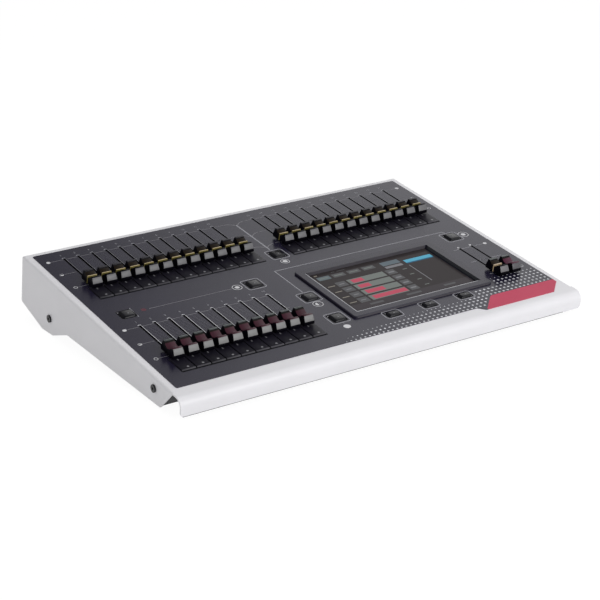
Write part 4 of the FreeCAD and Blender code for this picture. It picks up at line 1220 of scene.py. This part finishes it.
@dataclass
class FaderCap:
    """One cap design with its lever and slider, drawn round the lever's foot on the deck."""

    line: Finish
    # Finish of the line's side faces: its colour darkened as painted shade.
    line_side: Finish
    # Finish of the front face: a painted sheen.
    face: Finish
    # Finish of the thin strips painted as highlights on the crest.
    crest_line: Finish
    insert: bool = False
    line_half: float = 0.7
    rib: float = 1.6
    crest: float = 9.6
    crest_height: float = 12.0
    crest_strips: tuple[Point, Point] = ((8.85, 1.1), (7.2, 0.6))
    valley_height: float = 8.3
    brow: float = 12.3
    brow_height: float = 5.2
    face_top: float = 11.75
    face_foot: float = 6.4
    face_crest: float = 9.2
    foot: float = 11.4
    foot_height: float = 2.5
    top_width: float = 9.8
    foot_width: float = 11.4
    insert_rear: float = 5.2
    saddle_rear: float = 6.4
    edge: float = 0.4
    wall: float = 1.4
    lever: Point = (1.2, 3.0)
    slider: tuple[float, float, float] = (6.8, 8.0, 4.2)
    slider_top: float = -2.6

    def finishes(self) -> tuple[Finish, ...]:
        """Finishes in the order of Tone."""
        return (Paint.CAP, self.line, self.face, Paint.STEEL, Paint.SWITCH, self.crest_line,
                Paint.SADDLE, self.line_side)

    def outline(self) -> list[Point]:
        """Section of the cap along the slot.

        Returns:
            Feet and rear brow, rear half of the saddle with its flat crest, step, shelf and
            slope to the line, the same half mirrored to the front, and the bulging front
            face, which takes painted sheen.
        """
        top, low, face = self.crest_height, self.valley_height, self.face_top
        rear = [(self.crest, top), (6.9, top), (6.3, top - 0.9), (5.1, top - 1.2),
                (3.4, low + 1.0), (self.line_half, low + 0.05)]
        if not self.insert:
            rear.append((self.line_half, low + self.rib))
        front = [(-y, z) for y, z in reversed(rear[1:])]
        bulge = [(-8.9, top), (-9.4, face), (-10.7, top - 2.5), (-11.5, top - 4.1),
                 (-12.0, self.face_foot), (-self.brow, self.brow_height)]
        return [(-self.foot, self.foot_height), (self.foot, self.foot_height),
                (self.brow, self.brow_height), *rear, *front, *bulge]

    def tone(self, face: Face) -> Tone:
        """Choose the finish of one face of the cap.

        Args:
            face: The face.

        Returns:
            The finish, from where the face lies and which way it points.
        """
        _, y, z = face.calc_center_median()
        upward = face.normal.z > 0.3
        # The line's side faces take painted shade; on inserts they keep the body's colour.
        if abs(y) < self.line_half and z > self.foot_height + 0.05:
            side = Tone.BODY if self.insert else Tone.LINE_SIDE
            return Tone.LINE if upward else side
        if self.insert and -self.face_crest < y < self.insert_rear and upward:
            return Tone.LINE
        if not self.insert and abs(y) < self.line_half + 0.05 and z > self.valley_height:
            return Tone.LINE
        # Front face between its top and foot: painted sheen.
        if y < -self.face_crest and self.face_foot < z < self.face_top and face.normal.y < -0.35:
            return Tone.FACE
        # Rear half of the saddle top: painted reflection.
        if upward and 0 < y < self.saddle_rear and z > self.valley_height - 0.5:
            return Tone.SADDLE
        return Tone.BODY

    def hollow(self, mould: Mould) -> None:
        """Hollow the cap from below, with walls all round.

        Args:
            mould: The cap's outer shape.
        """
        under = [face for face in mould.form.faces if face.normal.z < -0.9]
        bmesh.ops.inset_region(mould.form, faces=under, thickness=self.wall, depth=0.0)
        floor = [face for face in under
                 if face.is_valid and abs(face.calc_center_median().y) < self.foot - self.wall]
        mould.push(floor, (0, 0, self.valley_height - self.wall - self.foot_height), keep=False)
        bmesh.ops.delete(mould.form, geom=[face for face in floor if face.is_valid],
                         context="FACES_ONLY")

    def shape(self) -> Mould:
        """Shape the cap, its lever and its slider.

        Returns:
            The shape, in the millimetres of the deck round the lever.
        """
        mould = Mould()
        mould.prism(self.outline(), -0.5, 1.0)
        slope = (self.foot_width - self.top_width) / (self.crest_height - self.foot_height)
        for vertex in mould.form.verts:
            vertex.co.x *= self.foot_width - slope * (vertex.co.z - self.foot_height)
        mould.soften(self.edge, 2, 28.0, lambda edge: runs_along(edge, self.foot_height, 2.0))
        for offset in (-self.line_half, self.line_half):
            mould.cut((0, offset, 0), (0, 1, 0))
        for face in mould.form.faces:
            face.material_index = self.tone(face).value
        self.hollow(mould)
        # Thin strips painted as highlights along the crest.
        for y, width in self.crest_strips:
            mould.block((0, y, self.crest_height), (self.top_width - 1.2, width, 0.06),
                        Tone.CREST.value)
        top = self.valley_height - self.wall
        foot = self.slider_top - self.slider[2] / 2
        mould.block((0, 0, (top + foot) / 2), (*self.lever, top - foot), Tone.LEVER.value)
        mould.block((0, 0, foot), self.slider, Tone.SLIDER.value)
        return mould


def runs_along(edge: Edge, foot: float, reach: float) -> bool:
    """Whether an edge lies above a foot and reaches less than that far across."""
    start, end = (vertex.co for vertex in edge.verts)
    return min(start.z, end.z) > foot + 0.1 and abs(start.x - end.x) < reach


@dataclass
class FaderBanks(Assembly):
    """All 36 faders, each riding on its own body."""

    def cap(self, bank: Bank, number: int) -> FaderCap:
        """Cap design of one fader.

        Args:
            bank: Its bank.
            number: Its place in the bank, from 1.

        Returns:
            The design.
        """
        bright_highlight = Paint.CREST_BRIGHT
        if bank is Bank.FRONT:
            return FaderCap(Paint.INSERT_MAROON, Paint.CAP, Paint.FACE_LIGHT, bright_highlight, insert=True)
        if bank is Bank.MASTER and number == 2:
            return FaderCap(Paint.INSERT_RED, Paint.CAP, Paint.FACE_DARK, bright_highlight, insert=True)
        if bank is Bank.MASTER:
            return FaderCap(Paint.LINE_CREAM, Paint.LINE_SIDE_SHADE_CREAM, Paint.FACE_GREY, bright_highlight)
        return FaderCap(Paint.LINE_YELLOW, Paint.LINE_SIDE_SHADE_OLIVE, Paint.FACE_GREY, Paint.CREST_DIM)

    def build(self) -> None:
        """Make every fader."""
        for bank in Bank:
            for number, x in enumerate(self.layout.columns(bank), start=1):
                cap = self.cap(bank, number)
                self.replace(cap.shape(), f"{bank.value}_{number:02d}", "cap", cap.finishes(),
                             x, self.layout.zero(bank), 35.0)


# ---------------------------------------------------------------- keys
@dataclass
class KeyForm:
    """A moulded key with its stem and the switch plunger, drawn round its middle on the deck."""

    width: float
    length: float
    height: float = 1.6
    thickness: float = 3.6
    stem: float = 4.0
    plunger: float = 3.4
    plunger_top: float = -4.95
    plunger_low: float = -8.3
    lamp_sides: int = 14

    @property
    def under(self) -> float:
        """Underside of the moulded top."""
        return self.height - self.thickness

    def stand(self, mould: Mould) -> None:
        """Add the stem and the plunger under the key."""
        for side, top, low in ((self.stem, self.under, self.plunger_top),
                               (self.plunger, self.plunger_top, self.plunger_low)):
            mould.block((0, 0, (top + low) / 2), (side, side, top - low))


@dataclass
class FlashKey(KeyForm):
    """Long key with a dished top, a front lip painted lighter as a highlight, and two small lamps.
    """

    lip: float = 1.2
    bevel: float = 0.9
    dish: float = 0.35
    edge: float = 0.4
    round_lamp: tuple[float, float, float] = (1.2, 4.6, 1.15)
    bar_lamp: Point = (-1.0, 19.2)
    bar_size: tuple[float, float, float] = (1.0, 2.8, 0.2)

    def shape(self) -> Mould:
        """Shape the key.

        Returns:
            The shape; its faces carry the key, its lamps and the painted highlight of its lip.
        """
        half, top = self.length / 2, self.height
        dip, surface = top - self.dish * 0.8, top - self.dish * 0.75
        mould = Mould(surface - 0.1, surface + 0.1)
        mould.prism([(-half, self.under), (half, self.under), (half, top - self.bevel),
                     (half - 2.0, top), (half - 6.0, dip), (0, top - self.dish),
                     (-half + 6.0, dip), (-half + self.lip + 0.5, top - 0.15),
                     (-half + self.lip, top), (-half, top - self.bevel)],
                    -self.width / 2, self.width)
        mould.soften(self.edge, 2, 40.0, lambda edge: runs_along(edge, self.under, 1.0))
        # Top of the front lip takes the painted highlight.
        for face in mould.form.faces:
            if face.calc_center_median().y < -half + self.lip + 0.1 and face.normal.z > 0.3:
                face.material_index = 2
        self.stand(mould)
        x, y, radius = self.round_lamp
        mould.disc(x, y - half, radius, self.lamp_sides, 1)
        x, y = self.bar_lamp
        mould.block((x, y - half, surface), self.bar_size, 1)
        return mould


@dataclass
class PillowKey(KeyForm):
    """Single key with rounded corners, a pillow top and a small lamp."""

    corner: float = 2.0
    shoulder: float = 2.6
    crown_shift: Point = (1.2, 0.7)
    lamp_place: Point = (1.4, -0.2)
    lamp: float = 0.7

    def shape(self) -> Mould:
        """Shape the key.

        Returns:
            The shape; its faces carry the key and its lamp.
        """
        mould = Mould(self.height - 0.02, self.height + 0.03)
        middle = (self.height + self.under) / 2
        mould.block((0, 0, middle), (self.width, self.length, self.thickness))
        mould.soften(self.corner, 5, 60.0, lambda edge: abs(
            (edge.verts[0].co - edge.verts[1].co).normalized().z) > 0.9)
        mould.soften(self.shoulder, 4, 60.0,
                     lambda edge: min(v.co.z for v in edge.verts) > self.height - 0.01)
        for vertex in mould.form.verts:
            share = max(0.0, (vertex.co.z - self.height) / self.shoulder + 1)
            vertex.co.x += self.crown_shift[0] * share
            vertex.co.y += self.crown_shift[1] * share
        self.stand(mould)
        mould.disc(*self.lamp_place, self.lamp, self.lamp_sides, 1)
        return mould


@dataclass
class KeyField(Assembly):
    """Flash keys in their banks and the keys that stand alone."""

    flash_gap: float = 1.1
    square: float = 13.0
    soft_depth: float = 8.0

    def build(self) -> None:
        """Make every key; the flash keys of a bank are one piece."""
        layout = self.layout
        flash = FlashKey(layout.column_pitch - self.flash_gap, layout.flash_length)
        for node, columns, front in layout.flash_banks():
            bank = Mould()
            for x in columns:
                bank.take(flash.shape(), Matrix.Translation((x, front + flash.length / 2, 0)))
            self.replace(bank, node, "moulded", (Paint.KEY, Paint.LAMP, Paint.KEY_LIP_HIGHLIGHT))
        for keys, length in ((layout.square_keys(), self.square),
                             (layout.soft_keys(), self.soft_depth)):
            for node, place in keys.items():
                key = PillowKey(self.square, length).shape()
                self.replace(key, node, "moulded", (Paint.KEY_GLOSS, Paint.LAMP), *place)


# ---------------------------------------------------------------- display
@dataclass(frozen=True)
class Screen(Lit):
    """Part of the display's picture behind the glass: little mirror, a little light of its own."""

    roughness: float = 0.2
    specular: float = 0.05
    grain: float = 1.0
    relief: float = 0.0002
    variation: float = 0.04
    spread: float = 0.03
    glow: float = 0.3


class Shade(Enum):
    """Colours of the display's picture, as a display gives them."""

    GROUND = (46, 42, 43)
    TILE = (78, 78, 80)
    PALE = (104, 109, 106)
    ROSE = (168, 70, 88)
    BLUE = (78, 152, 178)
    DEEP_BLUE = (36, 84, 112)
    BAR = (56, 52, 55)
    TEAL = (88, 98, 102)
    SLATE = (86, 97, 104)
    STRIP = (112, 112, 116)
    LABEL = (124, 119, 110)

    def finish(self) -> Screen:
        """Finish of this colour behind the glass."""
        return Screen(f"screen_{self.name.lower()}", "display_glass", srgb(*self.value))


@dataclass
class TouchDisplay(Assembly):
    """Raised frame, cover glass with its black mask, and a plain picture of bars and tiles."""

    frame_top: float = 2.8
    film: float = 0.02
    painted_line_thickness: float = 0.04
    mask_right: float = 2.6
    tile_starts: tuple[float, ...] = (8.1, 25.8, 43.9, 61.8)
    row_rear: float = 109.1
    row_pitch: float = 12.55
    row_depth: float = 9.9
    row_levels: tuple[float, ...] = (0.37, 0.37, 0.56, 0.98)
    buttons: tuple[Point, ...] = ((24.8, 40.6), (68.7, 86.3), (114.4, 128.5))

    def opening(self) -> Edges:
        """Opening in the frame.

        Returns:
            Its left, right, front and rear edge.
        """
        layout = self.layout
        half_width = layout.display_width / 2 - layout.display_border
        half_depth = layout.display_depth / 2 - layout.display_border
        return (layout.display_x - half_width, layout.display_x + half_width,
                layout.display_y - half_depth, layout.display_y + half_depth)

    def layers(self) -> tuple[list[tuple[Shade, Edges]], ...]:
        """Plain page: a head line, tiles, a blue bar, four level bars and a foot line.

        Returns:
            For each of its three layers, from the lowest, the colour and the left, right,
            front and rear edge of every rectangle.
        """
        left, right, front, rear = self.opening()
        right -= self.mask_right
        tiles = [(Shade.LABEL, (8.2, 12.0, 129.0, 130.8)), (Shade.TILE, (28.5, 33.0, 129.4, 130.4)),
                 (Shade.TILE, (35.5, 45.0, 129.4, 130.4)),
                 (Shade.SLATE, (84.6, 106.4, 117.9, 125.8)),
                 (Shade.STRIP, (84.6, 105.6, 111.8, 116.2)),
                 (Shade.BLUE, (110.9, right - 3.0, 114.4, 120.4)),
                 (Shade.DEEP_BLUE, (110.9, right - 3.0, 112.6, 114.4)),
                 (Shade.STRIP, (110.1, 111.1, 70.5, 109.1)),
                 (Shade.BAR, (left, right, front, 60.8))]
        signs = [(Shade.TILE, (start, end, 54.2, 57.4)) for start, end in self.buttons]
        for number, start in enumerate(self.tile_starts):
            shade = Shade.TILE if number else Shade.TEAL
            tiles.append((shade, (start, start + 14.4, 118.8, 125.8)))
            signs.append((Shade.PALE, (start + 2.0, start + 12.0, 121.6, 123.2)))
        for row, level in enumerate(self.row_levels):
            low = self.row_rear - self.row_depth - self.row_pitch * row
            top = low + self.row_depth
            tiles += [(Shade.TILE, (18.7, 30.1, low, top)), (Shade.PALE, (32.7, 76.6, low, top)),
                      (Shade.TILE, (79.3, 89.8, low, top)),
                      (Shade.LABEL, (8.0, 16.0, low + 4.0, low + 5.3)),
                      (Shade.PALE, (98.6, 103.8, low + 4.0, low + 5.2))]
            signs += [(Shade.STRIP, (21.5, 27.3, low + 4.2, low + 5.6)),
                      (Shade.ROSE, (36.5, 34.0 + 43.0 * level, low + 1.5, top - 1.5)),
                      (Shade.STRIP, (81.2, 87.8, low + 3.6, low + 6.0))]
        return [(Shade.GROUND, (left, right, front, rear))], tiles, signs

    def picture(self) -> None:
        """Lay the picture's layers on one another."""
        mould, shades = Mould(), list(Shade)
        for level, layer in enumerate(self.layers()):
            mould.low = self.layout.glass_top + self.film * level
            mould.high = mould.low + self.film
            for shade, edges in layer:
                mould.box(*edges, shades.index(shade))
        self.fix(mould, "display_picture", *(shade.finish() for shade in shades))

    def walls(self) -> None:
        """Lighter strips painted as light on the inner walls of the opening and along the
        front edge of the frame.
        """
        layout = self.layout
        left, right, front, rear = self.opening()
        # Strips painted as light on the walls and the frame's front edge.
        walls = Mould(layout.glass_top + 0.1, self.frame_top)
        walls.ribbon([(right - 0.1, front + 1.5), (right - 0.1, rear - 1.5)], 0.1)
        walls.ribbon([(left + 1.5, rear - 0.1), (right - 1.5, rear - 0.1)], 0.1, 1)
        walls.low, walls.high = layout.fascia_top, self.frame_top - 0.85
        reach = layout.display_width / 2 - 3.2
        y = layout.display_y - layout.display_depth / 2 - 0.06
        walls.ribbon([(layout.display_x - reach, y), (layout.display_x + reach, y)], 0.08, 1)
        self.fix(walls, "frame_wall_painted_light", Paint.RIM_SIDE_LIGHT, Paint.RIM_REAR_LIGHT)

    def build(self) -> None:
        """Dress the frame, and add glass mask, painted highlight on its edge, painted light
        on the walls, painted shadow along its foot, and picture.
        """
        self.dress(touch_display=Paint.BEZEL)
        layout = self.layout
        left, right, front, rear = self.opening()
        mask = Mould(layout.glass_top, layout.glass_top + self.film / 2)
        mask.box(left, right, front, rear)
        self.fix(mask, "glass_mask", Paint.MASK)
        # Light line painted as a highlight along the opening's left and front edge.
        edge = Mould(self.frame_top, self.frame_top + self.painted_line_thickness)
        edge.ribbon([(left - 0.35, rear - 0.5), (left - 0.35, front - 0.35),
                     (right - 4.0, front - 0.35)], 0.6)
        self.fix(edge, "frame_edge_painted_highlight", Paint.INK_DOT)
        self.walls()
        # Black line painted as the shadow along the frame's left foot.
        foot = Mould(layout.fascia_top, layout.fascia_top + self.painted_line_thickness)
        side = layout.display_x - layout.display_width / 2 - 0.35
        reach = layout.display_depth / 2 - 3.0
        foot.ribbon([(side, layout.display_y - reach), (side, layout.display_y + reach)], 0.6)
        self.fix(foot, "frame_foot_painted_shadow", Paint.INK_BLACK)
        self.picture()


# ---------------------------------------------------------------- rear wall
@dataclass
class RearPanel(Assembly):
    """Sockets, power switch and the small parts in them."""

    sockets: Point = (60.0, 100.0)
    row: float = -27.0
    flange: float = 0.2
    pin_circle: float = 4.6
    bore: float = 0.75
    sleeve_radius: float = 1.25
    screw_place: Point = (9.8, 12.2)
    screw_radius: float = 2.1
    screw_height: float = 0.5
    cross_reach: float = 1.2
    cross_width: float = 0.45

    def sleeve(self) -> Mould:
        """One contact sleeve.

        Returns:
            A gilt ring round a black bore.
        """
        part = Mould(0, 0.12)
        part.ring(0, 0, self.bore, self.sleeve_radius, 16)
        part.high = 0.05
        part.disc(0, 0, self.bore, 16, 2)
        return part

    def flange_screw(self) -> Mould:
        """One screw of a flange.

        Returns:
            The screw's flat head with its cross.
        """
        part, reach = Mould(0, self.screw_height), self.cross_reach
        part.disc(0, 0, self.screw_radius, 24, 1)
        part.low, part.high = self.screw_height, self.screw_height + 0.06
        for ends in (((-reach, 0), (reach, 0)), ((0, -reach), (0, reach))):
            part.ribbon(ends, self.cross_width, 2)
        return part

    def contacts(self) -> None:
        """Five contact sleeves and two flange screws of each data socket."""
        mould = Mould()
        turn = Matrix.Rotation(math.radians(-90), 4, "X")
        across, up = self.screw_place
        for x in self.sockets:
            pins = arc(x, self.row, self.pin_circle, 180, 360, 4)
            screws = [(x + side * across, self.row + side * up) for side in (-1, 1)]
            for kind, places in ((self.sleeve, pins), (self.flange_screw, screws)):
                for side, height in places:
                    mould.take(kind(), Matrix.Translation((side, self.flange, height)) @ turn)
        finishes = (Paint.CONTACT, Paint.SCREW, Paint.INK_BLACK)
        mould.cast("socket_contacts", finishes, "case", self.frame.wall)

    def build(self) -> None:
        """Dress the rear wall's pieces."""
        self.dress(rear_sockets=Paint.SOCKET, power_switch_body=Paint.SOCKET,
                   power_rocker=Paint.ROCKER)
        self.contacts()


# ---------------------------------------------------------------- studio
@dataclass
class Studio:
    """Pale floor, soft lights, white surroundings and the camera."""

    camera_place: tuple[float, float, float] = (-0.8632, -1.3462, 0.5984)
    camera_right: tuple[float, float, float] = (0.8365, -0.5474, -0.0243)
    camera_up: tuple[float, float, float] = (0.2064, 0.2739, 0.9394)
    camera_back: tuple[float, float, float] = (-0.5076, -0.7908, 0.3421)
    lens: float = 101.9
    aim: tuple[float, float, float] = (0, 0, 0.03)
    ambient: float = 0.47
    mirror_low: float = 0.16
    mirror_start: float = 0.36
    mirror_end: float = 0.54
    white_floor: float = 0.90
    floor_glow: float = 1.06

    def floor(self) -> None:
        """Large pale floor that looks white and keeps a soft shadow."""
        form = bmesh.new()
        bmesh.ops.create_grid(form, x_segments=1, y_segments=1, size=6.0)
        mesh = bpy.data.meshes.new("floor")
        form.to_mesh(mesh)
        form.free()
        paper = bpy.data.materials.new("floor_paper")
        paper.use_nodes = True
        graph = Graph(paper.node_tree)
        graph.feed(graph.shader, Base_Color=(0.9, 0.9, 0.9, 1), Roughness=0.9,
                   Specular_IOR_Level=0.0)
        seen = graph.math("MAXIMUM", graph.ray("Camera"), graph.ray("Glossy"))
        blend = graph.add("MixShader", "Shader", Fac=graph.math("MULTIPLY", seen, self.white_floor),
                          i1=graph.shader.outputs["BSDF"],
                          i2=graph.add("Emission", "Emission", Strength=self.floor_glow))
        graph.feed(graph.tree.nodes["Material Output"], Surface=blend)
        mesh.materials.append(paper)
        link("floor", mesh)

    def surroundings(self) -> None:
        """World: white where it is seen, even where it lights, darker to the left in mirrors."""
        world = bpy.data.worlds.new("studio")
        bpy.context.scene.world = world
        world.use_nodes = True
        graph = Graph(world.node_tree, "Generated")
        mirror = graph.ranged(graph.add("SeparateXYZ", "X", Vector=graph.places), self.mirror_low,
                              1.0, self.mirror_start, self.mirror_end, "SMOOTHSTEP")
        lit = graph.add("Mix", "Result", Factor=graph.ray("Glossy"), A=self.ambient, B=mirror)
        clear = graph.math("MAXIMUM", graph.ray("Camera"), graph.ray("Transmission"))
        seen = graph.add("Mix", "Result", Factor=clear, A=lit, B=1.0)
        graph.feed(graph.tree.nodes["Background"], Color=(1, 1, 1, 1), Strength=seen)

    def lamp(self, name: str, place: Sequence[float], size: Sequence[float], power: float,
             mirrored: bool = True) -> None:
        """Add one soft box that points at the desk.

        Args:
            name: Name of the light.
            place: Where it stands.
            size: Its width and height.
            power: Its power, in watts.
            mirrored: Whether glossy surfaces show it.
        """
        light = bpy.data.lights.new(name, "AREA")
        light.shape = "RECTANGLE"
        light.size, light.size_y = size
        light.energy = power
        holder = link(name, light)
        holder.location = place
        aim = Vector(self.aim) - Vector(place)
        holder.rotation_euler = aim.to_track_quat("-Z", "Y").to_euler()
        holder.visible_glossy = mirrored

    def camera(self) -> None:
        """Camera at the viewing angle of a customer who stands in front on the left."""
        lens = bpy.data.cameras.new("camera")
        lens.lens = self.lens
        lens.sensor_width = 36.0
        lens.clip_end = 50.0
        holder = link("camera", lens)
        axes = Matrix((self.camera_right, self.camera_up, self.camera_back)).transposed()
        holder.matrix_world = Matrix.Translation(self.camera_place) @ axes.to_4x4()
        bpy.context.scene.camera = holder

    def build(self) -> None:
        """Set up floor, surroundings, lights and camera."""
        self.floor()
        self.surroundings()
        self.lamp("front_soft_box", (0.30, -1.55, 0.70), (1.3, 0.9), 14.3)
        self.lamp("top_soft_box", (-0.3, 0.3, 1.6), (1.2, 1.2), 4.6, mirrored=False)
        self.camera()
        bpy.context.scene.view_settings.view_transform = "Standard"


def main() -> None:
    """Build the desk's looks and the studio."""
    logging.basicConfig(level=logging.INFO, format="%(name)s %(message)s")
    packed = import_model()
    layout = Layout()
    frame = DeskFrame.from_packed(packed, layout)
    for kind in (Housing, Inside, Fascia, FaderBanks, KeyField, TouchDisplay, RearPanel):
        kind(frame, layout, packed["nodes"]).build()
        LOG.info("%s is ready", kind.__name__)
    Studio().build()


if __name__ == "__main__":
    main()
